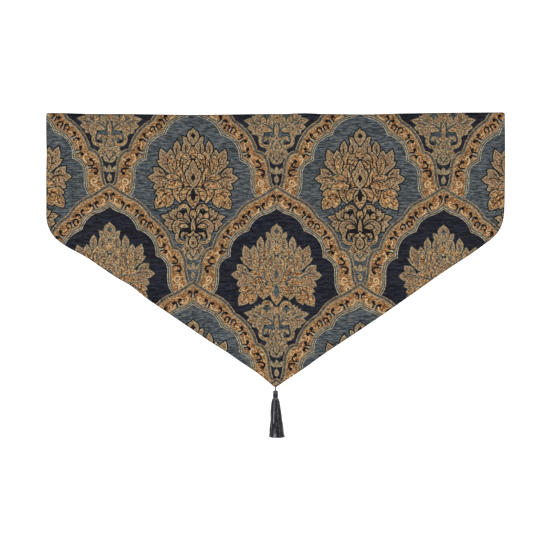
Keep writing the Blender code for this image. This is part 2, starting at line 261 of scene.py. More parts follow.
# The flower and the palmette under it. The lobes of one leaf are painted together, outlines first, then pale
# edges, then bodies, so that they melt into one leaf. A lobe's columns are where it starts (across, down),
# where it ends (across, down), its width, its sideways bend as a share of its length, and where along its
# length it is widest. These leaves stand on one side of the axis and are mirrored to the other.
LEAVES = table(
    "name body lobes veins",
    ("upper side leaf", "tan",
     [(54, 230, 77, 179, 32, 0.02, 0.56), (57, 226, 86, 161, 26, 0.03, 0.60),
      (57, 222, 61, 162, 22, 0.0, 0.62), (52, 219, 96, 194, 19, 0.0, 0.56)],
     [((59, 218), (66, 201), (70, 183)), ((64, 207), (77, 201)), ((59, 200), (61, 180))]),
    ("middle side leaf", "tan",
     [(66, 243, 104, 243, 33, 0.0, 0.58), (70, 245, 105, 213, 23, 0.0, 0.62),
      (70, 242, 120, 239, 24, 0.0, 0.60), (67, 247, 106, 267, 26, 0.04, 0.60)],
     [((68, 246), (84, 236), (104, 239)), ((78, 229), (91, 223))]),
    ("lower side leaf", "rust",
     [(57, 273, 89, 304, 40, -0.02, 0.50), (60, 277, 101, 283, 23, -0.06, 0.56),
      (62, 279, 99, 322, 31, -0.05, 0.58), (59, 275, 71, 318, 24, 0.05, 0.56)],
     [((64, 280), (75, 282), (84, 291)), ((62, 282), (64, 293)), ((80, 299), (90, 311))]),
    ("outer upright petal", "tan",
     [(44, 180, 42, 138, 19, 0.0, 0.52)],
     [((45, 175), (44, 164), (42, 156))]),
    ("inner upright petal", "tan",
     [(20, 179, 19, 136, 20, 0.0, 0.44), (19, 152, 28, 127, 13, -0.14, 0.56),
      (16, 172, 11, 140, 12, -0.08, 0.60)],
     [((21, 173), (19, 162), (21, 149))]),
    ("long petal", "rust", [(52, 231, 56, 176, 20, 0.04, 0.58)], []),
    ("round petal", "rust",
     [(43, 228, 32, 167, 28, -0.06, 0.68), (42, 228, 40, 188, 25, 0.0, 0.54)],
     [((47, 222), (44, 203), (43, 186)), ((35, 208), (33, 194), (34, 184))]),
    ("hanging petals", "rust",
     [(2, 180, 31, 187, 14, -0.12, 0.56), (6, 184, 29, 212, 18, 0.06, 0.58)],
     [((11, 189), (22, 202))]),
    ("petal behind the bud", "rust",
     [(3, 269, 27, 222, 26, 0.10, 0.50), (10, 232, 25, 202, 18, 0.0, 0.52)],
     []),
    ("petal beside the bud", "rust",
     [(27, 258, 37, 209, 21, 0.08, 0.58)],
     [((30, 249), (33, 238), (33, 228))]),
    ("side petal above", "rust", [(33, 247, 74, 235, 20, -0.06, 0.56)], []),
    ("lower petal", "rust", [(42, 255, 33, 306, 27, -0.05, 0.46)], [((40, 266), (42, 276))]),
    ("side petal below", "rust",
     [(26, 258, 77, 266, 25, -0.12, 0.50)],
     [((62, 253), (45, 246), (27, 257)), ((23, 257), (29, 262))]),
    ("wing of the lower bud", "rust", [(5, 266, 29, 300, 25, -0.14, 0.54)], []),
)
AXIS_LEAVES = table(
    "name body lobes veins",
    ("crown", "rust", [(0, 187, 0, 152, 22, 0.0, 0.38)], []),
    ("bud", "tan",
     [(0, 203, 0, 267, 37, 0.0, 0.52), (0, 242, 0, 190, 22, 0.0, 0.50), (7, 250, 16, 215, 13, 0.05, 0.60),
      (-7, 250, -16, 215, 13, -0.05, 0.60)],
     []),
    ("lower bud", "rust", [(0, 268, 0, 320, 34, 0.0, 0.44)], []),
    ("finial", "tan", [(0, 108, 0, 151, 31, 0.0, 0.42), (0, 137, 0, 104, 21, 0.0, 0.42)], []),
)
# The petals within the flower are parted by finer lines than those around it.
INNER_PETALS = ("crown", "long petal", "round petal", "hanging petals", "petal behind the bud",
                "petal beside the bud", "side petal above", "side petal below")
INNER_LINE_SHARE = 0.6
EYES = table(
    "down half_width half_height ring",
    (124.5, 7.2, 9.0, 4.8),
    (238.5, 6.6, 13.0, 4.8),
)
EYE_WAIST = 0.62
EYE_RING_WAIST = 0.76
LOWER_DROP = (0, 301, 0, 263, 14, 0.0, 0.46)
DOTS = table(
    "across down radius",
    (5.6, 182.0, 2.4),
    (5.6, 189.0, 2.4),
    (12.0, 207.0, 2.6),
    (25.5, 259.0, 4.0),
)
FLOWER_FOOT = {"path": ((34, 303), (14, 300), (0, 324)), "width": 7.0}
HORNS = {"path": ((2, 279), (12, 287)), "width": 4.2}
PALMETTE_LEAVES = table(
    "name body lobes veins",
    ("spread leaf", "tan",
     [(24, 357, 86, 341, 23, -0.03, 0.54), (30, 357, 78, 361, 21, 0.0, 0.62),
      (32, 357, 65, 378, 23, -0.04, 0.60)],
     [((34, 355), (52, 351), (71, 346)), ((47, 358), (58, 360)), ((45, 363), (54, 369))]),
    ("fan leaf", "tan",
     [(27, 359, 50, 330, 24, -0.04, 0.56), (34, 352, 47, 318, 14, 0.0, 0.60),
      (36, 353, 56, 322, 13, 0.0, 0.62), (38, 354, 65, 329, 14, 0.0, 0.60)],
     [((30, 355), (38, 347), (46, 337)), ((42, 347), (52, 338))]),
    ("inner oval", "rust", [(29, 354, 39, 330, 14, 0.0, 0.56)], []),
    ("upright oval", "tan", [(9, 370, 20, 330, 15, 0.04, 0.64)], []),
    ("arching leaf", "tan",
     [(10, 372, 51, 364, 18, -0.28, 0.56), (43, 352, 40, 392, 21, -0.07, 0.48)],
     [((6, 377), (18, 358), (38, 351)), ((35, 363), (28, 361), (21, 364))]),
    ("inner arching leaf", "rust", [(37, 368, 11, 369, 12, 0.08, 0.46)], []),
)
PALMETTE_AXIS = table(
    "name body lobes veins",
    ("crown drop", "gold", [(0, 352, 0, 321, 17, 0.0, 0.56)], []),
    ("stem", "rust", [(0, 392, 0, 344, 11, 0.0, 0.50)], []),
    ("crossbar", "rust", [(-16, 390, 16, 390, 10, 0.0, 0.50), (0, 397, 0, 379, 11, 0.0, 0.50)], []),
    ("middle drop", "tan", [(0, 425, 0, 391, 22, 0.0, 0.44)], []),
)
PALMETTE_FOOT = table(
    "name body lobes veins",
    ("foot leaf", "tan",
     [(2, 425, 24, 442, 16, -0.10, 0.58), (4, 424, 31, 429, 15, 0.0, 0.62),
      (6, 424, 28, 417, 13, -0.08, 0.60)],
     [((9, 424), (18, 421)), ((10, 429), (18, 436))]),
    ("foot chevron", "tan", [(-1, 457, 16, 438, 10, 0.10, 0.56)], []),
    ("foot bud", "tan", [(0, 482, 14, 467, 9, 0.20, 0.62), (0, 484, 0, 464, 10, 0.0, 0.60)], []),
)
FOOT_AXIS = table(
    "name body lobes veins",
    ("foot heart", "tan", [(0, 447, 0, 421, 15, 0.0, 0.55)], []),
    ("pendant", "tan", [(0, 508, 0, 487, 12, 0.0, 0.50)], []),
)
CURLS = table(
    "across down radius width from to inner",
    (25.5, 324.2, 11.0, 10.8, 200.0, -5.0, False),
    (28.0, 395.0, 15.5, 9.0, 40.0, -120.0, True),
    (22.5, 392.5, 7.0, 8.0, 225.0, -30.0, True),
)
STROKES = table(
    "path width",
    (((30, 412), (20, 414), (9, 427)), 8.0),
    (((16, 391), (14.5, 401), (19, 412)), 7.0),
)
LIMB = {"path": ((14, 317), (9, 334), (1, 350)), "width": 9.0}
POCKETS = table(
    "across down half_width half_height",
    (26.5, 329.0, 8.2, 5.0),
    (17.0, 379.5, 14.5, 4.6),
    (23.0, 397.5, 3.0, 4.2),
    (35.0, 394.0, 2.8, 5.6),
    (11.6, 407.0, 2.2, 6.6),
    (5.6, 355.0, 2.2, 8.0),
)
PALMETTE_GROUND = {"across": 0.0, "down": 385.0, "half_width": 37.0, "half_height": 14.0}
MIDDLE_EYE = {"down": 412.5, "half_width": 2.8, "half_height": 6.2, "ring": 0.0}

# Each region's yarns, as sRGB colours: three tones of the weft, and flecks that show through and their
# share. A streak is one visible float of yarn. It and how far the region is raised are in millimetres.
REGIONS = {row["name"]: row for row in table(
    "name dark middle light fleck flecks streak_length streak_height raised",
    ("navy", (18, 18, 28), (31, 32, 42), (48, 49, 60), (56, 58, 70), 0.10, 22, 3, 0),
    ("slate", (46, 52, 56), (80, 87, 91), (118, 124, 126), (36, 40, 48), 0.26, 20, 2.6, 0),
    ("gold", (84, 56, 34), (156, 115, 76), (224, 181, 131), (96, 64, 42), 0.26, 5, 3.4, 0.3),
    ("dark_gold", (92, 56, 31), (148, 99, 57), (204, 153, 98), (80, 50, 36), 0.22, 4.8, 3.2, 0.2),
    ("tan", (64, 46, 35), (140, 111, 82), (214, 183, 146), (98, 70, 47), 0.26, 4.6, 3, 0.4),
    ("rust", (56, 32, 22), (134, 92, 58), (212, 167, 114), (246, 214, 160), 0.24, 4.6, 3.1, 0.4),
    ("pale_line", (116, 101, 77), (162, 143, 111), (204, 186, 150), (112, 94, 70), 0.20, 5.6, 3.6, 0.4),
    ("tan_line", (124, 100, 73), (168, 142, 107), (204, 178, 140), (104, 88, 68), 0.24, 6, 3.4, 0.3),
    ("khaki", (92, 84, 70), (126, 115, 95), (156, 143, 117), (78, 72, 66), 0.25, 6, 3, 0.2),
    ("stripe", (50, 52, 52), (88, 86, 80), (128, 120, 106), (44, 44, 52), 0.30, 6.5, 4, 0),
    ("cream", (132, 122, 102), (176, 166, 142), (214, 204, 180), (110, 100, 84), 0.20, 6, 3, 0.3),
    ("ink", (12, 10, 15), (22, 19, 24), (38, 33, 36), (66, 56, 54), 0.10, 6, 3, 0),
    ("shade", (54, 52, 48), (78, 76, 68), (104, 100, 88), (52, 54, 58), 0.20, 6, 3, 0.2),
    ("bell", (118, 110, 96), (158, 150, 132), (194, 187, 168), (96, 92, 92), 0.12, 5, 3, 0.3),
    ("pale_gold", (188, 150, 104), (222, 188, 138), (246, 222, 176), (164, 120, 80), 0.12, 5, 3, 0.3),
    ("vein", (44, 54, 60), (74, 84, 88), (106, 114, 114), (42, 42, 50), 0.20, 6, 3, 0.1),
    ("reverse", (58, 52, 50), (84, 76, 70), (112, 102, 92), (46, 48, 60), 0.25, 16, 2.4, 0),
)}
# Two dye lots in the weft, which multiply a region's colour where each prevails.
WARM_LOT = (1.07, 0.99, 0.90, 1.0)
COOL_LOT = (0.94, 1.01, 1.09, 1.0)
REGION_NAMES = list(REGIONS)
# What parts one region's noise from the next, and the range in which most noise lies.
NOISE_STEP = 3.7
NOISE_RANGE = (0.3, 0.7)
# Where the three tones lie in the noise, and the finer grains as shares of a streak's length and height.
TONE_STOPS = (0.36, 0.5, 0.65)
FLECK_GRAIN = (0.42, 0.95)
FLECK_LEVEL = {"none": 0.66, "all": 0.36, "softness": 0.07, "cover": 0.85}
LOT_GRAIN = (1.4, 1.6)
LOT_RANGE = (0.38, 0.62)
# Broad soft shading, picks and pile, in metres.
BROAD_GRAIN = (0.09, 0, 0.06)
BROAD_SHADE = (0.92, 1.08)
PICK_PITCH = 0.0021
PICK_WAVE = {"Scale": 1 / (20 * PICK_PITCH) * 2 * math.pi, "Distortion": 1.2, "Detail": 1.0,
             "Detail Scale": 0.6}
PICK_RANGE = (0.0, 0.6)
PICK_SHADE = (0.80, 1.04)
PILE_GRAIN = (0.0016, 0.0016, 0.0011)
PILE_SHARE = 0.8
RELIEF = {"Strength": 0.55, "Distance": 0.0005}
CHENILLE = {"Roughness": 0.86, "Specular IOR Level": 0.15, "Sheen Weight": 0.06, "Sheen Roughness": 0.45}
# Painted shade, multiplied into the face's colour: darker along the turned rim, across the header and at the
# tip.
SHADE_ATTRIBUTE = "kept_light"
RIM_SHADE = {"depth": 0.34, "reach": 0.0052}
HEADER_SHADE = {"depth": 0.17, "reach": 0.036}
TIP_SHADE = {"depth": 0.45, "reach": 0.010}
EDGE_JITTER = 0.00035
EDGE_PROBE = 0.15
PROBE_SHARES = (0.2, 0.8)


def smooth(share):
    """0 to 1 with a soft start and end."""
    share = np.clip(share, 0, 1)
    return share * share * (3 - 2 * share)


def bump(distance, reach):
    """1 at no distance, falling softly to 0 at the reach."""
    return smooth(1 - np.abs(distance) / reach)


def rounded_corner(before, corner, after, radius, step):
    """Points along an arc that rounds one corner of an outline."""
    incoming = (corner - before).normalized()
    outgoing = (after - corner).normalized()
    turn = incoming.angle(outgoing)
    start = corner - incoming * radius * math.tan(turn / 2)
    side = 1 if incoming.cross(outgoing) > 0 else -1
    centre = start + Vector((-incoming.y, incoming.x)) * side * radius
    count = max(4, math.ceil(radius * turn / step))
    points = []
    for i in range(count + 1):
        angle = side * turn * i / count
        spoke = start - centre
        points.append(centre + Vector((
            spoke.x * math.cos(angle) - spoke.y * math.sin(angle),
            spoke.x * math.sin(angle) + spoke.y * math.cos(angle),
        )))
    return points


def flat_outline():
    """The cut outline as (x, z), counter-clockwise as the viewer sees it, from the top left corner down."""
    half = PANEL_WIDTH / 2
    corners = [
        (Vector((-half, 0)), TOP_CORNER_RADIUS),
        (Vector((-half, -SHOULDER_DROP)), LEFT_SHOULDER_RADIUS),
        (Vector((-TIP_WIDTH / 2, -POINT_DROP + TIP_RISE)), 0),
        (Vector((TIP_WIDTH / 2, -POINT_DROP + TIP_RISE)), 0),
        (Vector((half, -SHOULDER_DROP)), RIGHT_SHOULDER_RADIUS),
        (Vector((half, 0)), TOP_CORNER_RADIUS),
    ]
    points = []
    for i, (corner, radius) in enumerate(corners):
        before = corners[i - 1][0]
        after = corners[(i + 1) % len(corners)][0]
        if radius:
            points += rounded_corner(before, corner, after, radius, ARC_STEP)
        else:
            points.append(corner)
    return points


def edges_of(ring):
    return [(a, b) for a, b in zip(ring, ring[1:] + ring[:1]) if (b - a).length > 1e-7]


def inward(a, b):
    """The unit normal that points into an outline that runs counter-clockwise."""
    along = (b - a).normalized()
    return Vector((-along.y, along.x))


def inset(ring, distance):
    """The convex outline moved inwards by a distance: each edge's line clips what lies outside it."""
    kept = list(ring)
    for a, b in edges_of(ring):
        normal = inward(a, b)
        offset = a.dot(normal) + distance
        clipped = []
        for p, q in zip(kept, kept[1:] + kept[:1]):
            p_in = p.dot(normal) - offset
            q_in = q.dot(normal) - offset
            if p_in >= 0:
                clipped.append(p)
            if (p_in >= 0) != (q_in >= 0):
                clipped.append(p.lerp(q, p_in / (p_in - q_in)))
        kept = clipped
    return [a for a, _ in edges_of(kept)]


def resample(ring, step):
    """The same outline, with its long edges divided."""
    points = []
    for a, b in edges_of(ring):
        count = max(1, round((b - a).length / step))
        points += [a.lerp(b, i / count) for i in range(count)]
    return points


def inside_distances(points, outline):
    """How far each point lies inside the convex outline, as an array."""
    nearest = np.full(len(points), np.inf)
    for a, b in edges_of(outline):
        normal = inward(a, b)
        nearest = np.minimum(nearest, (points[:, 0] - a.x) * normal.x + (points[:, 1] - a.y) * normal.y)
    return nearest


def forward_of(x, z):
    """How far the hung cloth stands out of its own plane, towards the viewer."""
    drop = -z
    out = 0.0
    for ripple in RIPPLES:
        centre = ripple["x"] + ripple["lean"] * drop
        growth = smooth((drop - ripple["starts"]) / RIPPLE_FULL_DROP)
        out = out + ripple["forward"] * growth * bump(x - centre, ripple["half_width"])
    return out


def hang(x, z):
    """Where points (x, z) of the flat cut hang, as rows of x, y and z."""
    sag = sum(row["sag"] * bump(x - row["x"], row["half_width"]) for row in TOP_SAGS)
    moved_x = x
    moved_z = z - sag * bump(z, TOP_SAG_FADE)
    for row in DRIFTS:
        share = bump(np.hypot(x - row["x"], z - row["z"]), row["reach"])
        moved_x = moved_x + row["side"] * share
        moved_z = moved_z + row["lift"] * share
    return np.stack([moved_x, -forward_of(x, z), moved_z], axis=-1)


def read_off(rows, place, value, where):
    """A table's value at a place, on straight lines between its rows."""
    return np.interp(where, [row[place] for row in rows], [row[value] for row in rows])


def half_thickness(x, z, distance):
    """Half the cloth's thickness: thick at the turned edge, thickest where the seams meet in the tip."""
    plain = read_off(EDGE_PROFILE, "inset", "half_thickness", distance)
    return plain + TIP_BULGE * bump(np.hypot(x, z + POINT_DROP), TIP_BULGE_REACH)


# Shapes in a cell. Each is a pair of a region's name and an array of closed outline points.


def half_edge(corners):
    """One side of an arch, from its apex down: arcs through its corners."""
    places = [np.array([row["across"], row["down"]]) for row in corners]
    points = places[:1]
    for start, end, row in zip(places, places[1:], corners[1:]):
        chord = end - start
        length = np.hypot(*chord)
        outward = np.array([chord[1], -chord[0]]) / length
        count = max(1, round(length / EDGE_STEP))
        for i in range(1, count + 1):
            share = i / count
            points.append(start + chord * share + outward * row["bulge"] * 4 * share * (1 - share))
    return np.array(points)


def full_edge(corners):
    """An arch's whole outline: its side and the mirrored one, which meet at the apex."""
    right = half_edge(corners)
    left = right[::-1] * [-1, 1]
    return np.concatenate([left[:-1], right])


def signed_area(points):
    following = np.roll(points, -1, axis=0)
    return 0.5 * np.sum(points[:, 0] * following[:, 1] - following[:, 0] * points[:, 1])


def distance_to_path(points, path):
    """Each point's distance to a closed path."""
    start = path[None]
    step = np.roll(path, -1, axis=0)[None] - start
    offset = points[:, None] - start
    share = np.sum(offset * step, axis=2) / np.maximum(np.sum(step * step, axis=2), 1e-12)
    nearest = offset - np.clip(share, 0, 1)[..., None] * step
    return np.sqrt(np.min(np.sum(nearest * nearest, axis=2), axis=1))


def grow(points, distance):
    """A closed outline moved outwards, or inwards by a negative distance, with its overlaps trimmed."""
    if distance == 0:
        return points
    if signed_area(points) < 0:
        points = points[::-1]
    before = points - np.roll(points, 1, axis=0)
    after = np.roll(points, -1, axis=0) - points
    moved = []
    for point, back, ahead in zip(points, before, after):
        back = back / max(np.hypot(*back), 1e-9)
        ahead = ahead / max(np.hypot(*ahead), 1e-9)
        normal_back = np.array([back[1], -back[0]])
        normal_ahead = np.array([ahead[1], -ahead[0]])
        middle = normal_back + normal_ahead
        share = np.dot(middle, middle) / 2
        mitre = middle / max(share, MITRE_LIMIT)
        if np.dot(back, ahead) < SHARP_TURN:
            moved += [point + distance * way for way in (normal_back, mitre, normal_ahead)]
        else:
            moved.append(point + distance * mitre)
    moved = np.array(moved)
    kept = moved[distance_to_path(moved, points) > abs(distance) * KEPT_DISTANCE]
    return kept if len(kept) > 3 else None


def lobe_outline(lobe):
    """A pointed lobe along a middle line that bows sideways."""
    base = np.array(lobe[0:2], dtype=float)
    tip = np.array(lobe[2:4], dtype=float)
    width, bend, belly = lobe[4:]
    along = tip - base
    side = np.array([-along[1], along[0]]) * bend
    middle = (base + tip) / 2 + side * 2
    power = math.log(0.5) / math.log(belly)
    count = max(7, round(np.hypot(*along) / LOBE_STEP))
    left, right = [], []
    for i in range(count + 1):
        t = i / count
        centre = base * (1 - t) ** 2 + middle * 2 * t * (1 - t) + tip * t * t
        heading = (middle - base) * (1 - t) + (tip - middle) * t
        heading = heading / max(np.hypot(*heading), 1e-9)
        normal = np.array([-heading[1], heading[0]])
        fullness = LOBE_BASE_FULLNESS if t < belly else LOBE_TIP_FULLNESS
        half = width / 2 * max(0.0, math.sin(math.pi * t ** power)) ** fullness
        left.append(centre + normal * half)
        right.append(centre - normal * half)
    return np.array(left + right[-2:0:-1])


def stroke(points, width, taper=0.35):
    """A drawn line as a closed outline, thinner towards its ends."""
    points = np.array(points, dtype=float)
    heading = np.gradient(points, axis=0)
    heading /= np.maximum(np.hypot(heading[:, 0], heading[:, 1]), 1e-9)[:, None]
    normal = np.stack([-heading[:, 1], heading[:, 0]], axis=1)
    share = np.linspace(0, 1, len(points))
    half = width / 2 * (taper + (1 - taper) * np.sin(np.pi * share) ** STROKE_FULLNESS)
    return np.concatenate([points + normal * half[:, None], (points - normal * half[:, None])[::-1]])


def curve_through(points, count=9):
    """A smooth line through two or three points."""
    points = [np.array(point, dtype=float) for point in points]
    if len(points) == 2:
        points.insert(1, (points[0] + points[1]) / 2)
    start, middle, end = points
    control = 2 * middle - (start + end) / 2
    shares = np.linspace(0, 1, count)[:, None]
    return start * (1 - shares) ** 2 + control * 2 * shares * (1 - shares) + end * shares ** 2


def arc(across, down, radius, start, end, count=14):
    """Points on a circle between two angles in degrees, counted upwards from the right."""
    angles = np.radians(np.linspace(start, end, count))
    return np.stack([across + radius * np.cos(angles), down - radius * np.sin(angles)], axis=1)


def oval(across, down, half_width, half_height, sides=12):
    angles = np.linspace(0, 2 * np.pi, sides, endpoint=False)
    return np.stack([across + half_width * np.cos(angles), down + half_height * np.sin(angles)], axis=1)


def star(across, down, half_width, half_height, waist):
    """A four-pointed star, as the eye of a bud."""
    points = []
    for i in range(8):
        reach = waist if i % 2 else 1.0
        angle = math.pi * i / 4
        points.append((across + half_width * reach * math.cos(angle),
                       down + half_height * reach * math.sin(angle)))
    return np.array(points)


def turned(points, across, down, degrees, size=1.0):
    """Points moved to a place on the band and turned about it."""
    angle = math.radians(degrees)
    turn = np.array([[math.cos(angle), -math.sin(angle)], [math.sin(angle), math.cos(angle)]])
    return np.array(points) * size @ turn.T + [across, down]


def mirrored(shapes):
    """The shapes, each followed by its mirror image."""
    both = []
    for region, points in shapes:
        both += [(region, points), (region, points * [-1, 1])]
    return both


def bell_shapes(row):
    """A pale bell between two dark curls, its mouth towards the ground. The last one has no curls."""
    parts = []
    for side in (-1, 1):
        if row["hooked"]:
            hook = arc(side * HOOK["out"], 0.0, HOOK["radius"], 90 + side * 90, 90 - side * HOOK["sweep"])
            parts.append(("ink", stroke(hook, HOOK["width"], taper=0.8)))
            parts.append(("ink", oval(side * HOOK_BALL["out"], HOOK_BALL["down"],
                                      HOOK_BALL["half_width"], HOOK_BALL["half_height"])))
        elif row["hooked"] is False:
            parts.append(("ink", oval(side * CURL["out"], -CURL["up"],
                                      CURL["half_width"], CURL["half_height"])))
        if row["hooked"] is not None:
            stalk = [(STALK["head_out"], -CURL["up"]), STALK["waist"], STALK["foot"]]
            line = curve_through([(side * out, down) for out, down in stalk])
            parts.append(("ink", stroke(line, STALK["width"], taper=0.6)))
    parts.append(("bell", np.array(BELL_OUTLINE)))
    return [(region, turned(points, row["across"], row["down"], row["turn"])) for region, points in parts]


def swash_shape(row):
    """A pale gold flourish between two bells, with a curl at its end."""
    line = stroke(np.concatenate([curve_through(SWASH_LINE), arc(**SWASH_CURL)]), FLOURISH_WIDTH, taper=0.5)
    return ("pale_gold", turned(line, row["across"], row["down"], row["turn"], row["size"]))


def spiral_shape(row):
    """A pale gold spiral in the leg."""
    shares = np.linspace(0, 1, SPIRAL_POINTS)
    angles = np.radians(row["start"]) + shares * row["turns"] * 2 * np.pi
    reach = row["radius"] * (1 - SPIRAL_TIGHTENS * shares)
    line = np.stack([row["across"] + reach * np.cos(angles), row["down"] + reach * np.sin(angles)], axis=1)
    return ("pale_gold", stroke(line, FLOURISH_WIDTH, taper=0.6))


def band_shapes():
    """The band's scrollwork: one side, its mirror image, and the bell on the axis."""
    shapes = []
    for row in PATCHES:
        patch = oval(0, 0, row["half_width"], row["half_height"])
        shapes.append(("dark_gold", turned(patch, row["across"], row["down"], row["turn"])))
    shapes += [swash_shape(row) for row in SWASHES]
    shapes += [spiral_shape(row) for row in SPIRALS]
    for row in LEG_HOOKS:
        shapes.append(("ink", stroke(curve_through(row["path"], 12), LEG_HOOK_WIDTH, taper=0.8)))
        shapes.append(("ink", oval(*row["ball"], *LEG_HOOK_BALL)))
    for row in BELLS[1:]:
        shapes += bell_shapes(row)
    return mirrored(shapes) + bell_shapes(BELLS[0])


def leaf_shapes(leaf, inks):
    """One leaf of one or more lobes: its surround, pale edge, body and veins."""
    lobes = [lobe_outline(lobe) for lobe in leaf["lobes"]]
    shapes = [(inks["surround"], grow(lobe, inks["surround_width"])) for lobe in lobes]
    shapes += [("pale_line", lobe) for lobe in lobes]
    edge = BROAD_PALE_EDGE if leaf["body"] == "tan" else PALE_EDGE
    shapes += [(leaf["body"], grow(lobe, -edge)) for lobe in lobes]
    shapes += [(inks["vein"], stroke(curve_through(vein), inks["vein_width"])) for vein in leaf["veins"]]
    return [(region, points) for region, points in shapes if points is not None]


def finer(inks):
    """The same inks with a narrower surround."""
    return dict(inks, surround_width=inks["surround_width"] * INNER_LINE_SHARE)


def all_leaves(leaves, inks, mirror=True):
    """A table's leaves. Those that stand on the axis aren't mirrored."""
    shapes = []
    for leaf in leaves:
        own = leaf_shapes(leaf, finer(inks) if leaf["name"] in INNER_PETALS else inks)
        shapes += mirrored(own) if mirror else own
    return shapes


def line_shapes(line, width, inks):
    """A curl or stroke with its surround, pale edge and body."""
    return [
        (inks["surround"], stroke(line, width + 2 * inks["surround_width"], taper=0.8)),
        ("pale_line", stroke(line, width, taper=0.75)),
        ("rust", stroke(line, max(width - 2 * PALE_EDGE, THINNEST_BODY), taper=0.6)),
    ]


def eye_shapes(row, inks):
    """A dark star in a tan one, with a pale edge."""
    def grown(margin, waist):
        return star(0, row["down"], row["half_width"] + margin, row["half_height"] + margin, waist)
    return [("pale_line", grown(row["ring"], EYE_RING_WAIST)),
            ("tan", grown(row["ring"] - PALE_EDGE, EYE_RING_WAIST)),
            (inks["vein"], grown(0.0, EYE_WAIST))]


def flower_shapes(inks):
    """The flower, from its foot to the small dots."""
    foot = stroke(curve_through(FLOWER_FOOT["path"]), FLOWER_FOOT["width"], taper=0.8)
    shapes = mirrored([("ink", foot)])
    shapes += all_leaves(LEAVES, inks) + all_leaves(AXIS_LEAVES, inks, mirror=False)
    for row in EYES:
        shapes += eye_shapes(row, inks)
    drop = lobe_outline(LOWER_DROP)
    shapes += [("pale_line", grow(drop, PALE_EDGE)), (inks["vein"], drop)]
    horn = stroke(curve_through(HORNS["path"], 5), HORNS["width"], taper=0.7)
    dots = [oval(row["across"], row["down"], row["radius"], row["radius"], sides=8) for row in DOTS]
    return shapes + mirrored([(inks["vein"], points) for points in [horn, *dots]])


def palmette_shapes(inks):
    """The palmette under the flower, with its foot and its own curls."""
    foot = dict(inks, surround="shade", surround_width=SHADE_OUTLINE)
    shapes = [(inks["vein"], oval(**PALMETTE_GROUND, sides=30))]
    shapes += all_leaves(PALMETTE_FOOT, foot) + all_leaves(FOOT_AXIS, foot, mirror=False)
    for row in STROKES:
        shapes += mirrored(line_shapes(curve_through(row["path"]), row["width"], finer(inks)))
    shapes += all_leaves(PALMETTE_LEAVES, inks)
    for row in CURLS:
        line = arc(row["across"], row["down"], row["radius"], row["from"], row["to"])
        shapes += mirrored(line_shapes(line, row["width"], finer(inks) if row["inner"] else inks))
    shapes += mirrored(line_shapes(curve_through(LIMB["path"]), LIMB["width"], inks))
    shapes += mirrored([(inks["vein"], oval(**row)) for row in POCKETS])
    return shapes + all_leaves(PALMETTE_AXIS, inks, mirror=False) + eye_shapes(MIDDLE_EYE, inks)[2:]


INKS = {
    "slate": {"surround": "ink", "surround_width": INK_OUTLINE, "vein": "ink", "vein_width": 3.2},
    "navy": {"surround": "shade", "surround_width": SHADE_OUTLINE, "vein": "vein", "vein_width": 3.8},
}


def cell_shapes(ground):
    """All that one cell paints, from the back to the front."""
    outer = full_edge(OUTER_EDGE)
    inner = full_edge(GROUND_EDGE)
    shapes = [(line["region"], grow(outer, -line["from_edge"])) for line in OUTER_LINES]
    shapes += [(line["region"], grow(inner, line["from_ground"])) for line in INNER_LINES]
    shapes += band_shapes()
    shapes.append((ground, inner))
    return shapes + palmette_shapes(INKS[ground]) + flower_shapes(INKS[ground])


def contains(points, polygon):
    """Which points lie inside a closed outline, counted by its turns around them."""
    order = np.argsort(points[:, 1])
    across, down = points[order].T
    turns = np.zeros(len(points), dtype=int)
    for (x0, y0), (x1, y1) in zip(polygon.tolist(), np.roll(polygon, -1, axis=0).tolist()):
        if y0 != y1:
            first, last = np.searchsorted(down, (min(y0, y1), max(y0, y1)))
            crossed = across[first:last] < x0 + (down[first:last] - y0) * ((x1 - x0) / (y1 - y0))
            turns[first:last] += crossed if y1 > y0 else -crossed.astype(int)
    inside = np.empty(len(points), dtype=bool)
    inside[order] = turns != 0
    return inside


def paint(points, shapes, regions):
    """Set the region that shows at each point: the last shape painted there."""
    for region, polygon in shapes:
        near = np.where(np.all((points >= polygon.min(axis=0)) & (points <= polygon.max(axis=0)), axis=1))[0]
        if len(near):
            regions[near[contains(points[near], polygon)]] = REGION_NAMES.index(region)
    return regions


def corners_of(shapes):
    """All the shapes' corners in one array, and for each the number of the next one on its outline."""
    ahead = []
    first = 0
    for _, polygon in shapes:
        ahead.append(first + (np.arange(len(polygon)) + 1) % len(polygon))
        first += len(polygon)
    return np.concatenate([polygon for _, polygon in shapes]), np.concatenate(ahead)


def seen_edges(shapes):
    """Which edges part two regions in the finished cell, and so don't lie under other shapes."""
    corners, ahead = corners_of(shapes)
    step = corners[ahead] - corners
    normal = np.stack([-step[:, 1], step[:, 0]], axis=1) / np.maximum(np.hypot(*step.T), 1e-9)[:, None]
    probes = [corners + step * share + normal * side
              for share in PROBE_SHARES for side in (-EDGE_PROBE, EDGE_PROBE)]
    found = paint(np.concatenate(probes), shapes, np.full(4 * len(corners), -1)).reshape(4, -1)
    return (found[0] != found[1]) | (found[2] != found[3])


def woven(points, axis, apex):
    """A cell's points in millimetres, placed on the flat cut in metres, with the weave's bow."""
    x = axis + points[:, 0] * MM
    return np.stack([x, apex - points[:, 1] * MM + read_off(WEAVE_BOW, "x", "lift", x)], axis=1)


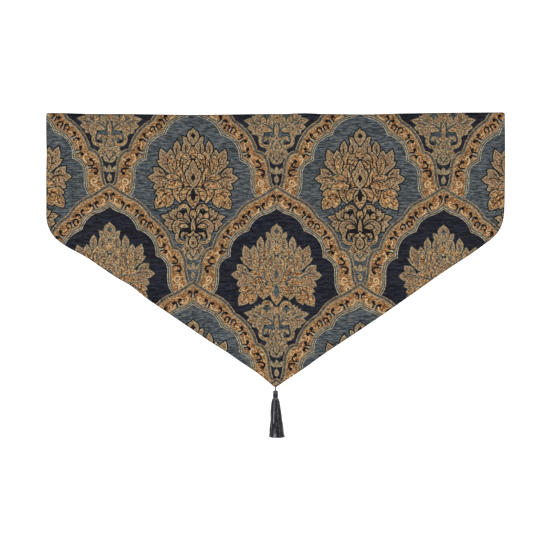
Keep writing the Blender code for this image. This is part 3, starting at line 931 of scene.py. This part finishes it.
def placed_cells():
    """Every cell on the flat cut, in metres, from the back to the front."""
    chance = np.random.default_rng(SEED)
    made = {ground: cell_shapes(ground) for ground in ("navy", "slate")}
    seen = {ground: seen_edges(made[ground]) for ground in made}
    cells = []
    for row in ROWS:
        apex = FIRST_NAVY_APEX_Z - (row["row"] - 1) * ROW_PITCH
        for column in row["columns"]:
            axis = PATTERN_X + column * COLUMN_PITCH
            shapes = []
            for region, points in made[row["ground"]]:
                world = woven(points, axis, apex)
                world += chance.uniform(-EDGE_JITTER, EDGE_JITTER, world.shape)
                shapes.append((region, world))
            cells.append({"outer": shapes[0][1], "shapes": shapes, "seen": seen[row["ground"]]})
    return cells


def region_of_points(points, cells):
    """The region that shows at each point of the flat cut."""
    owner = np.full(len(points), -1)
    for number, cell in enumerate(cells):
        owner[contains(points, cell["outer"])] = number
    regions = np.full(len(points), REGION_NAMES.index("navy"))
    for number, cell in enumerate(cells):
        mine = np.where(owner == number)[0]
        regions[mine] = paint(points[mine], cell["shapes"], regions[mine])
    return regions


def pattern_edges(cells, outline):
    """The points and edges of every outline that shows on the panel."""
    points = []
    edges = []
    for number, cell in enumerate(cells):
        corners, ahead = corners_of(cell["shapes"])
        shown = cell["seen"] & (inside_distances(corners, outline) > -RING_STEP)
        for later in cells[number + 1:]:
            hidden = contains(corners, later["outer"])
            shown &= ~(hidden & hidden[ahead])
        kept = np.where(shown)[0]
        used = np.unique(np.concatenate([kept, ahead[kept]]))
        place = np.zeros(len(corners), dtype=int)
        place[used] = len(points) + np.arange(len(used))
        points.extend(Vector(corner) for corner in corners[used])
        edges.extend(zip(place[kept].tolist(), place[ahead[kept]].tolist()))
    return points, edges


def add_ring(points, edges, ring):
    """Add a closed ring of points and the edges that join them."""
    first = len(points)
    points.extend(ring)
    edges.extend((first + i, first + (i + 1) % len(ring)) for i in range(len(ring)))


def staggered_grid(outline, pitch):
    """Flat points in rows, every other row half a pitch across, within the turned hem."""
    columns = math.ceil(PANEL_WIDTH / 2 / pitch)
    rows = math.ceil(POINT_DROP / pitch)
    grid = np.array([
        ((column + 0.5 * (row % 2)) * pitch, -(row + 0.5) * pitch)
        for row in range(rows) for column in range(-columns, columns + 1)
    ])
    grid = grid[inside_distances(grid, outline) > EDGE_PROFILE[-1]["inset"] + pitch / 3]
    return [Vector(point) for point in grid]


def front_triangles(outline, cells):
    """The patterned face cut along every outline that shows: flat points, triangles and their regions."""
    points, edges = pattern_edges(cells, outline)
    add_ring(points, edges, resample(outline, RING_STEP))
    for row in EDGE_PROFILE[1:]:
        add_ring(points, edges, resample(inset(outline, row["inset"]), RING_STEP))
    points += staggered_grid(outline, FRONT_PITCH)
    flat, _, triangles, _, _, _ = delaunay_2d_cdt(points, edges, [], 0, 1e-7)
    flat = np.array([tuple(point) for point in flat])
    triangles = np.array(triangles)
    triangles = triangles[inside_distances(flat[triangles].mean(axis=1), outline) > 0]
    used, triangles = np.unique(triangles, return_inverse=True)
    flat, triangles = flat[used], triangles.reshape(-1, 3)
    return flat, triangles, region_of_points(flat[triangles].mean(axis=1), cells)


def reverse_triangles(outline, ring):
    """The plain reverse within the rim: flat points, triangles, and the point at each place of the rim."""
    points, edges = [], []
    add_ring(points, edges, ring)
    for row in EDGE_PROFILE[1:]:
        add_ring(points, edges, resample(inset(outline, row["inset"]), RING_STEP))
    points += staggered_grid(outline, BACK_PITCH)
    flat, _, triangles, origins, _, _ = delaunay_2d_cdt(points, edges, [list(range(len(ring)))], 1, 1e-9)
    at_rim = {source: number for number, sources in enumerate(origins)
              for source in sources if source < len(ring)}
    return np.array([tuple(point) for point in flat]), triangles, at_rim


def boundary_loop(triangles):
    """The rim's edges in order, with the triangle that each belongs to."""
    owner = {}
    for number, (a, b, c) in enumerate(triangles):
        for edge in ((a, b), (b, c), (c, a)):
            owner[edge] = number
    following = {a: (b, owner[a, b]) for a, b in owner if (b, a) not in owner}
    start = next(iter(following))
    loop = []
    current = start
    while True:
        ahead, number = following[current]
        loop.append((current, number))
        current = ahead
        if current == start:
            return loop


def vertex_heights(count, triangles, regions):
    """How far each point is raised: the lowest of the regions that meet there."""
    raised = np.array([REGIONS[name]["raised"] * MM for name in REGION_NAMES])[regions]
    heights = np.full(count, np.inf)
    for corner in range(3):
        np.minimum.at(heights, triangles[:, corner], raised)
    return heights


def new_object(name, points, faces, materials, owners):
    """A smooth mesh object. Its owners are the number of each face's material."""
    mesh = bpy.data.meshes.new(name)
    mesh.from_pydata(points, [], faces)
    for material in materials:
        mesh.materials.append(material)
    mesh.polygons.foreach_set("material_index", np.array(owners, dtype=np.int32))
    mesh.shade_smooth()
    mesh.update()
    made = bpy.data.objects.new(name, mesh)
    bpy.context.scene.collection.objects.link(made)
    return made


def build_panel():
    """The hung cloth: the patterned face, a rim in the face's yarns, and the plain reverse."""
    outline = flat_outline()
    flat, triangles, regions = front_triangles(outline, placed_cells())
    distances = np.maximum(inside_distances(flat, outline), 0.0)
    front = hang(*flat.T)
    front[:, 1] -= half_thickness(*flat.T, distances) + vertex_heights(len(flat), triangles, regions)
    loop = boundary_loop(triangles.tolist())

    back_flat, back_triangles, at_rim = reverse_triangles(outline, [Vector(flat[i]) for i, _ in loop])
    back = hang(*back_flat.T)
    back[:, 1] += half_thickness(*back_flat.T, np.maximum(inside_distances(back_flat, outline), 0.0))

    first = len(front)
    faces = triangles.tolist()
    owners = list(regions)
    for place, (vertex, number) in enumerate(loop):
        following = (place + 1) % len(loop)
        faces.append((loop[following][0], vertex, first + at_rim[place], first + at_rim[following]))
        owners.append(regions[number])
    faces += [(first + a, first + c, first + b) for a, b, c in back_triangles]
    owners += [REGION_NAMES.index("reverse")] * len(back_triangles)

    materials = [weave_material(name, REGIONS[name]) for name in REGION_NAMES]
    panel = new_object("jacquard_panel", np.concatenate([front, back]).tolist(), faces, materials, owners)
    # Each point of the face keeps its painted shade, and the reverse keeps all its colour.
    kept_light = panel.data.attributes.new(SHADE_ATTRIBUTE, "FLOAT", "POINT")
    shades = np.concatenate([painted_shade_of_points(flat, distances), np.ones(len(back))])
    kept_light.data.foreach_set("value", shades.astype(np.float32))
    return panel


def srgb(colour):
    """An sRGB colour of 0 to 255 as the linear one that a shader takes."""
    def channel(value):
        share = value / 255
        return share / 12.92 if share <= 0.04045 else ((share + 0.055) / 1.055) ** 2.4
    return (*(channel(value) for value in colour), 1.0)


def set_inputs(node, values):
    for name, value in values.items():
        node.inputs[name].default_value = value


def new_material(name):
    """A material with its node tree and its shader."""
    material = bpy.data.materials.new(name)
    material.use_nodes = True
    return material, material.node_tree, material.node_tree.nodes["Principled BSDF"]


def add_noise(tree, place, size, detail, offset):
    """Noise whose grain has the given size in metres along X, Y and Z."""
    mapping = tree.nodes.new("ShaderNodeMapping")
    set_inputs(mapping, {"Scale": [1 / length if length else 0.0 for length in size],
                         "Location": (offset, offset * 0.7, offset * 0.3)})
    noise = tree.nodes.new("ShaderNodeTexNoise")
    set_inputs(noise, {"Scale": 1.0, "Detail": detail, "Roughness": 0.55})
    tree.links.new(place.outputs["Object"], mapping.inputs["Vector"])
    tree.links.new(mapping.outputs["Vector"], noise.inputs["Vector"])
    return noise.outputs["Fac"]


def add_range(tree, source, low, high, to_low=0.0, to_high=1.0):
    """A value stretched from one range to another."""
    node = tree.nodes.new("ShaderNodeMapRange")
    set_inputs(node, {"From Min": low, "From Max": high, "To Min": to_low, "To Max": to_high})
    tree.links.new(source, node.inputs["Value"])
    return node.outputs["Result"]


def add_mix(tree, factor, first, second, blend="MIX"):
    """Two colours mixed. Each is a socket or a colour."""
    node = tree.nodes.new("ShaderNodeMix")
    node.data_type = "RGBA"
    node.blend_type = blend
    sockets = {"Factor": node.inputs[0], "A": node.inputs[6], "B": node.inputs[7]}
    for name, value in (("Factor", factor), ("A", first), ("B", second)):
        if isinstance(value, bpy.types.NodeSocket):
            tree.links.new(value, sockets[name])
        else:
            sockets[name].default_value = value
    return node.outputs[2]


def add_shade(tree, colour, value):
    """A colour multiplied by a single value."""
    grey = tree.nodes.new("ShaderNodeCombineColor")
    for channel in ("Red", "Green", "Blue"):
        tree.links.new(value, grey.inputs[channel])
    return add_mix(tree, 1.0, colour, grey.outputs["Color"], "MULTIPLY")


def painted_shade_of_points(flat, distances):
    """Painted shade: how much of its colour each point of the face keeps, less along the rim, the header and
    the tip.
    """
    rim = RIM_SHADE["depth"] * bump(distances, RIM_SHADE["reach"])
    header = HEADER_SHADE["depth"] * bump(flat[:, 1], HEADER_SHADE["reach"])
    tip = TIP_SHADE["depth"] * bump(np.hypot(flat[:, 0], flat[:, 1] + POINT_DROP), TIP_SHADE["reach"])
    return (1 - rim) * (1 - header) * (1 - tip)


def weave_material(name, look):
    """Chenille weft in broken tones, with flecks, horizontal picks and a soft sheen."""
    material, tree, shader = new_material("weave_" + name)
    place = tree.nodes.new("ShaderNodeTexCoord")
    length, height = look["streak_length"] * MM, look["streak_height"] * MM
    offset = NOISE_STEP * (1 + REGION_NAMES.index(name))

    def grain(shares, detail, shift):
        return add_noise(tree, place, (length * shares[0], 0, height * shares[1]), detail, offset + shift)

    ramp = tree.nodes.new("ShaderNodeValToRGB")
    stops = ramp.color_ramp.elements
    stops.new(TONE_STOPS[1])
    for stop, position, tone in zip(stops, TONE_STOPS, ("dark", "middle", "light")):
        stop.position = position
        stop.color = srgb(look[tone])
    tree.links.new(grain((1, 1), 2.0, 0.0), ramp.inputs["Fac"])

    level = FLECK_LEVEL["none"] + (FLECK_LEVEL["all"] - FLECK_LEVEL["none"]) * look["flecks"]
    flecks = add_range(tree, grain(FLECK_GRAIN, 1.0, 1.3), level, level + FLECK_LEVEL["softness"],
                       0.0, FLECK_LEVEL["cover"])
    colour = add_mix(tree, flecks, ramp.outputs["Color"], srgb(look["fleck"]))
    lots = add_range(tree, grain(LOT_GRAIN, 1.0, 7.0), *LOT_RANGE)
    colour = add_mix(tree, 1.0, colour, add_mix(tree, lots, WARM_LOT, COOL_LOT), "MULTIPLY")
    broad = add_noise(tree, place, BROAD_GRAIN, 2.0, offset + 5.0)
    colour = add_shade(tree, colour, add_range(tree, broad, *NOISE_RANGE, *BROAD_SHADE))

    picks = tree.nodes.new("ShaderNodeTexWave")
    picks.wave_type = "BANDS"
    picks.bands_direction = "Z"
    set_inputs(picks, PICK_WAVE)
    tree.links.new(place.outputs["Object"], picks.inputs["Vector"])
    colour = add_shade(tree, colour, add_range(tree, picks.outputs["Fac"], *PICK_RANGE, *PICK_SHADE))
    # Painted shade from the face's points darkens the colour.
    kept_light = tree.nodes.new("ShaderNodeAttribute")
    kept_light.attribute_name = SHADE_ATTRIBUTE
    colour = add_mix(tree, 1.0, colour, kept_light.outputs["Color"], "MULTIPLY")
    tree.links.new(colour, shader.inputs["Base Color"])

    pile = tree.nodes.new("ShaderNodeMath")
    pile.operation = "MULTIPLY_ADD"
    pile.inputs[1].default_value = PILE_SHARE
    tree.links.new(add_noise(tree, place, PILE_GRAIN, 2.0, offset + 9.0), pile.inputs[0])
    tree.links.new(picks.outputs["Fac"], pile.inputs[2])
    relief = tree.nodes.new("ShaderNodeBump")
    set_inputs(relief, RELIEF)
    tree.links.new(pile.outputs["Value"], relief.inputs["Height"])
    tree.links.new(relief.outputs["Normal"], shader.inputs["Normal"])
    set_inputs(shader, CHENILLE)
    return material


# The tassel hangs from the panel's tip. Drops are in metres below the tip, or below the head's top.
HEAD_TOP = 0.0096
HEAD_HEIGHT = 0.0190
CORD_IN_PANEL = 0.0080
CORD_IN_HEAD = 0.0040
CORD_PITCH = 0.0085
PLY_OFFSET = 0.00086
PLY_RADIUS = 0.00100
CORD_STEPS = 60
CORD_SIDES = 10
HEAD_PROFILE = table(
    "drop radius",
    (0.0, 0.0022),
    (0.0006, 0.0046),
    (0.0020, 0.0062),
    (0.0038, 0.0069),
    (0.0060, 0.0070),
    (0.0078, 0.0065),
    (0.0090, 0.0058),
    (0.0178, 0.0058),
    (0.0190, 0.0064),
)
HEAD_SIDES = 24
HEAD_YARNS = 40
HEAD_YARN_SIDES = 6
HEAD_YARN_RADIUS = 0.00052
HEAD_YARN_FULL_FROM = 0.0050
HEAD_YARN_SLANT = 6
BINDING_TOP_DROP = 0.0090
BINDING_BOTTOM_DROP = 0.0180
BINDING_TURNS = 12
BINDING_RADIUS = 0.0065
BINDING_THREAD_RADIUS = 0.0005
BINDING_CORE_SIDES = 32
BINDING_STEPS = 28
BINDING_SIDES = 8
SKIRT_LENGTH = 0.1062
SKIRT_ROOT_RADIUS = 0.0064
SKIRT_FLARE = 0.0048
SKIRT_FLARE_REACH = 0.0060
SKIRT_SLOPE = 0.113
SKIRT_SWAY = 0.0042
SKIRT_FILL = 0.925
SKIRT_STEPS = 22
SKIRT_RAGGED = 0.0030
SKIRT_LOOSE_SHARE = 0.7
SWAY_POWER = 1.5
LEAST_RADIUS = 0.002
YARN_THICKNESS_SHARE = 0.62
YARN_SIDES = 5
YARN_JITTER = 0.3
YARN_RINGS = table(
    "share yarns",
    (0.97, 96),
    (0.86, 80),
    (0.72, 62),
    (0.54, 42),
    (0.34, 24),
    (0.14, 9),
)
LOCKS = 30
LOCK_WAVE = 0.0023
LOCK_WAVE_LENGTH = 0.058
LOCK_STRETCH = (0.8, 1.5)
LOCK_DEPTH = (0.5, 1.0)
STRAY_WAVE = 0.0005
STRAY_WAVE_SHARE = 0.6
LARGEST_STRAY = 6.3
LIKE_ITS_LOCK = 0.88
YARN_LOOKS = table(
    "name tone share",
    ("yarn_deep", (9, 9, 11), 0.36),
    ("yarn_charcoal", (27, 27, 30), 0.38),
    ("yarn_grey", (112, 112, 120), 0.25),
)
# Painted highlight where the skirt turns out under its binding, and painted shade just below it.
# Drops are from the skirt's root.
NECK_LIGHT = {"tone": (136, 136, 142), "share": 0.60, "starts": 0.0036, "ends": 0.0062}
NECK_SHADE = {"keeps": 0.62, "starts": 0.0062, "ends": 0.0240}
# The grain of the yarn's light and dark, in metres: fine fibre, and long broken lights in the skirt.
FIBRE_GRAIN = {"across": 0.0012, "along": 0.006, "contrast": 0.16}
SKIRT_GRAIN = {"across": 0.0030, "along": 0.017, "contrast": 0.50}
HEAD_TONE = (80, 82, 90)
CORD_TONE = (40, 43, 48)
BINDING_TONE = (22, 20, 50)


def tip_point():
    """The middle of the panel's tip, as it hangs."""
    return Vector(hang(0.0, -POINT_DROP + TIP_RISE))


def spoke(radius, angle, drop=0.0):
    """The way from a point on an upright axis to one at a radius and angle about it."""
    return Vector((radius * math.cos(angle), radius * math.sin(angle), -drop))


def paint_neck_highlight_and_shade(tree, place, colour, root_z):
    """The skirt's colour, with a painted highlight where it turns out under the binding and painted shade
    just below.
    """
    split = tree.nodes.new("ShaderNodeSeparateXYZ")
    tree.links.new(place.outputs["Object"], split.inputs["Vector"])
    height = split.outputs["Z"]
    kept = add_range(tree, height, root_z - NECK_SHADE["ends"], root_z - NECK_SHADE["starts"],
                     1.0, NECK_SHADE["keeps"])
    colour = add_shade(tree, colour, kept)
    light = add_range(tree, height, root_z - NECK_LIGHT["ends"], root_z - NECK_LIGHT["starts"],
                      0.0, NECK_LIGHT["share"])
    return add_mix(tree, light, colour, srgb(NECK_LIGHT["tone"]))


def yarn_material(name, tone, roughness=0.42, root_z=None):
    """Smooth twisted yarn with a soft shine. A skirt's yarn gets a painted highlight and painted shade by
    its height below its root.
    """
    material, tree, shader = new_material(name)
    place = tree.nodes.new("ShaderNodeTexCoord")
    grain = FIBRE_GRAIN if root_z is None else SKIRT_GRAIN
    fibre = add_noise(tree, place, (grain["across"], grain["across"], grain["along"]), 2.0, 2.0)
    dark, light = (srgb([(1 + side * grain["contrast"]) * value for value in tone]) for side in (-1, 1))
    colour = add_mix(tree, add_range(tree, fibre, *NOISE_RANGE), dark, light)
    if root_z is not None:
        colour = paint_neck_highlight_and_shade(tree, place, colour, root_z)
    tree.links.new(colour, shader.inputs["Base Color"])
    set_inputs(shader, {"Roughness": roughness, "Specular IOR Level": 0.45, "Sheen Weight": 0.08})
    return material


def add_tube(points, faces, path, radii, sides):
    """A tube about a path that runs mostly downwards: level rings, and a cap at each end."""
    first = len(points)
    for centre, radius in zip(path, radii):
        points += [centre + spoke(radius, 2 * math.pi * i / sides) for i in range(sides)]
    for k in range(len(path) - 1):
        low, high = first + k * sides, first + (k + 1) * sides
        for i in range(sides):
            j = (i + 1) % sides
            faces.append((low + i, high + i, high + j, low + j))
    last = first + (len(path) - 1) * sides
    faces.append(tuple(range(first, first + sides)))
    faces.append(tuple(reversed(range(last, last + sides))))


def tassel_piece(name, points, faces, materials, owners, node):
    """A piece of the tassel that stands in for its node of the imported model."""
    piece = new_object(name, points, faces, materials, owners)
    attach(piece, "root")
    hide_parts(node)
    return piece


def build_cord():
    """The two plies, wound about each other from inside the tip to inside the head."""
    tip = tip_point()
    drops = np.linspace(-CORD_IN_PANEL, HEAD_TOP + CORD_IN_HEAD, CORD_STEPS + 1)
    points, faces = [], []
    for ply in range(2):
        path = [tip + spoke(PLY_OFFSET, 2 * math.pi * (tip.z - drop) / CORD_PITCH + math.pi * ply, drop)
                for drop in drops]
        add_tube(points, faces, path, [PLY_RADIUS] * len(path), CORD_SIDES)
    material = yarn_material("cord_yarn", CORD_TONE, 0.6)
    return tassel_piece("twisted_cord", points, faces, [material], [0] * len(faces),
                        "tassel_cord")


def build_binding():
    """Thread wound about the neck, over a plain core."""
    top = tip_point() + spoke(0, 0, HEAD_TOP)
    points, faces = [], []
    core = [top + spoke(0, 0, BINDING_TOP_DROP), top + spoke(0, 0, BINDING_BOTTOM_DROP)]
    add_tube(points, faces, core, [BINDING_RADIUS - BINDING_THREAD_RADIUS / 2] * 2, BINDING_CORE_SIDES)
    first, sides = len(points), BINDING_SIDES
    pitch = (BINDING_BOTTOM_DROP - BINDING_TOP_DROP) / BINDING_TURNS
    for k in range(BINDING_TURNS * BINDING_STEPS + 1):
        angle = 2 * math.pi * k / BINDING_STEPS
        for i in range(sides):
            around = 2 * math.pi * i / sides
            points.append(top + spoke(
                BINDING_RADIUS + BINDING_THREAD_RADIUS * math.cos(around), angle,
                BINDING_TOP_DROP + pitch * k / BINDING_STEPS - BINDING_THREAD_RADIUS * math.sin(around)))
    for k in range(BINDING_TURNS * BINDING_STEPS):
        low, high = first + k * sides, first + (k + 1) * sides
        faces += [(low + i, low + (i + 1) % sides, high + (i + 1) % sides, high + i) for i in range(sides)]
    material = yarn_material("binding_yarn", BINDING_TONE, 0.5)
    return tassel_piece("wound_binding", points, faces, [material], [0] * len(faces),
                        "tassel_binding")


def skirt_path(share, angle, length, lock, stray, root):
    """One yarn's way down the skirt: it waves with its lock and a little by itself."""
    path = []
    for k in range(SKIRT_STEPS + 1):
        drop = length * k / SKIRT_STEPS
        flare = SKIRT_FLARE * (1 - math.exp(-drop / SKIRT_FLARE_REACH))
        outer = SKIRT_ROOT_RADIUS + flare + SKIRT_SLOPE * drop
        loose = smooth(drop / (SKIRT_LOOSE_SHARE * SKIRT_LENGTH))
        turn = 2 * math.pi * drop / (LOCK_WAVE_LENGTH * lock["stretch"]) + lock["phase"]
        own = 2 * math.pi * drop / (LOCK_WAVE_LENGTH * STRAY_WAVE_SHARE) + stray
        sideways = lock["wave"] * math.sin(turn) + STRAY_WAVE * math.sin(own)
        inwards = 0.5 * lock["wave"] * (1 + math.cos(turn)) * share
        bent = angle + sideways * loose / max(outer * share, LEAST_RADIUS)
        sway = Vector((SKIRT_SWAY * (drop / SKIRT_LENGTH) ** SWAY_POWER, 0, 0))
        path.append(root + sway + spoke(outer * SKIRT_FILL * share - inwards * loose, bent, drop))
    return path


def add_head(points, faces, top):
    """The bulb and the yarns that run down over it, slightly aslant."""
    reaches = [row["radius"] - HEAD_YARN_RADIUS for row in HEAD_PROFILE]
    drops = [row["drop"] for row in HEAD_PROFILE]
    thick = [HEAD_YARN_RADIUS * min(1.0, row["radius"] / HEAD_YARN_FULL_FROM) for row in HEAD_PROFILE]
    add_tube(points, faces, [top + spoke(0, 0, drop) for drop in drops], reaches, HEAD_SIDES)
    for i in range(HEAD_YARNS):
        angles = [2 * math.pi * (i + HEAD_YARN_SLANT * drop / HEAD_HEIGHT) / HEAD_YARNS for drop in drops]
        path = [top + spoke(*place) for place in zip(reaches, angles, drops)]
        add_tube(points, faces, path, thick, HEAD_YARN_SIDES)


def build_tassel():
    """The head's yarns over its bulb, and the skirt's yarns in wavy locks."""
    chance = random.Random(SEED)
    top = tip_point() + spoke(0, 0, HEAD_TOP)
    root = top + spoke(0, 0, HEAD_HEIGHT)
    points, faces = [], []
    add_head(points, faces, top)
    owners = [0] * len(faces)
    materials = [yarn_material("head_yarn", HEAD_TONE, 0.5)]
    materials += [yarn_material(look["name"], look["tone"], root_z=root.z) for look in YARN_LOOKS]
    looks = range(1, 1 + len(YARN_LOOKS))
    weights = [look["share"] for look in YARN_LOOKS]
    for ring in YARN_RINGS:
        locks = [{
            "phase": chance.uniform(0, 2 * math.pi),
            "stretch": chance.uniform(*LOCK_STRETCH),
            "wave": LOCK_WAVE * chance.uniform(*LOCK_DEPTH),
            "look": chance.choices(looks, weights)[0],
        } for _ in range(LOCKS)]
        for i in range(ring["yarns"]):
            angle = 2 * math.pi * (i + chance.uniform(-YARN_JITTER, YARN_JITTER)) / ring["yarns"]
            lock = locks[int(angle / (2 * math.pi) * LOCKS) % LOCKS]
            length = SKIRT_LENGTH - SKIRT_RAGGED * chance.random()
            path = skirt_path(ring["share"], angle, length, lock, chance.uniform(0, LARGEST_STRAY), root)
            drops = [length * k / SKIRT_STEPS for k in range(SKIRT_STEPS + 1)]
            room = 2 * math.pi * SKIRT_FILL * ring["share"] / ring["yarns"]
            radii = [YARN_THICKNESS_SHARE * room * (SKIRT_ROOT_RADIUS + SKIRT_FLARE + SKIRT_SLOPE * drop)
                     for drop in drops]
            before = len(faces)
            add_tube(points, faces, path, radii, YARN_SIDES)
            look = lock["look"] if chance.random() < LIKE_ITS_LOCK else chance.choices(looks, weights)[0]
            owners += [look] * (len(faces) - before)
    return tassel_piece("yarn_tassel", points, faces, materials, owners, "tassel")


FLOOR_Z = -1.35
FLOOR_HALF_WIDTH = 8.0
FLOOR_FRONT_Y = -5.0
WALL_Y = 4.8
WALL_TOP_Z = 4.2
COVE_RADIUS = 1.2
COVE_STEPS = 16
STAGE_LOOK = {"Base Color": (0.92, 0.92, 0.92, 1.0), "Roughness": 0.9,
              "Emission Color": (1.0, 1.0, 1.0, 1.0), "Emission Strength": 0.62}


def build_stage():
    """A pale floor that curves up into a pale backdrop."""
    profile = [(FLOOR_FRONT_Y, FLOOR_Z)]
    for i in range(COVE_STEPS + 1):
        angle = math.pi / 2 * i / COVE_STEPS
        profile.append((WALL_Y - COVE_RADIUS + COVE_RADIUS * math.sin(angle),
                        FLOOR_Z + COVE_RADIUS * (1 - math.cos(angle))))
    profile.append((WALL_Y, WALL_TOP_Z))
    points = [(side * FLOOR_HALF_WIDTH, y, z) for y, z in profile for side in (-1, 1)]
    faces = [(2 * i, 2 * i + 1, 2 * i + 3, 2 * i + 2) for i in range(len(profile) - 1)]
    material, _, shader = new_material("white_stage")
    set_inputs(shader, STAGE_LOOK)
    floor = new_object("floor", points, faces, [material], [0] * len(faces))


CAMERA_X = -0.0013
CAMERA_Z = -0.4282
CAMERA_LENS = 85.0
CAMERA_SENSOR = 36.0
FRAME_WIDTH = 1.4619


def build_camera():
    """Square on to the panel, at the photograph's framing."""
    data = bpy.data.cameras.new("camera")
    data.lens = CAMERA_LENS
    data.sensor_width = CAMERA_SENSOR
    camera = bpy.data.objects.new("camera", data)
    camera.location = (CAMERA_X, -FRAME_WIDTH * CAMERA_LENS / CAMERA_SENSOR, CAMERA_Z)
    camera.rotation_euler = (math.pi / 2, 0, 0)
    bpy.context.scene.collection.objects.link(camera)
    bpy.context.scene.camera = camera


LIGHTS = table(
    "name at size power",
    ("key", (-1.6, -2.6, 1.1), 2.2, 18.0),
    ("fill", (1.9, -2.8, 0.2), 2.6, 9.0),
)
WORLD_STRENGTH = 0.48
LIGHT_AIM = (0, 0, -0.4)


def build_lights():
    """Two soft lights from the viewer's side, in a white world."""
    for row in LIGHTS:
        data = bpy.data.lights.new(row["name"], "AREA")
        data.shape = "DISK"
        data.size = row["size"]
        data.energy = row["power"]
        light = bpy.data.objects.new(row["name"], data)
        light.location = row["at"]
        light.rotation_euler = (Vector(LIGHT_AIM) - light.location).to_track_quat("-Z", "Y").to_euler()
        bpy.context.scene.collection.objects.link(light)
    world = bpy.data.worlds.new("studio")
    world.use_nodes = True
    background = world.node_tree.nodes["Background"]
    set_inputs(background, {"Color": (1.0, 1.0, 1.0, 1.0), "Strength": WORLD_STRENGTH})
    bpy.context.scene.world = world
    bpy.context.scene.view_settings.view_transform = "Standard"


def main():
    build_camera()
    build_stage()
    build_lights()
    panel = build_panel()
    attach(panel, "root")
    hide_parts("panel")
    hung = [build_cord(), build_tassel(), build_binding()]


main()
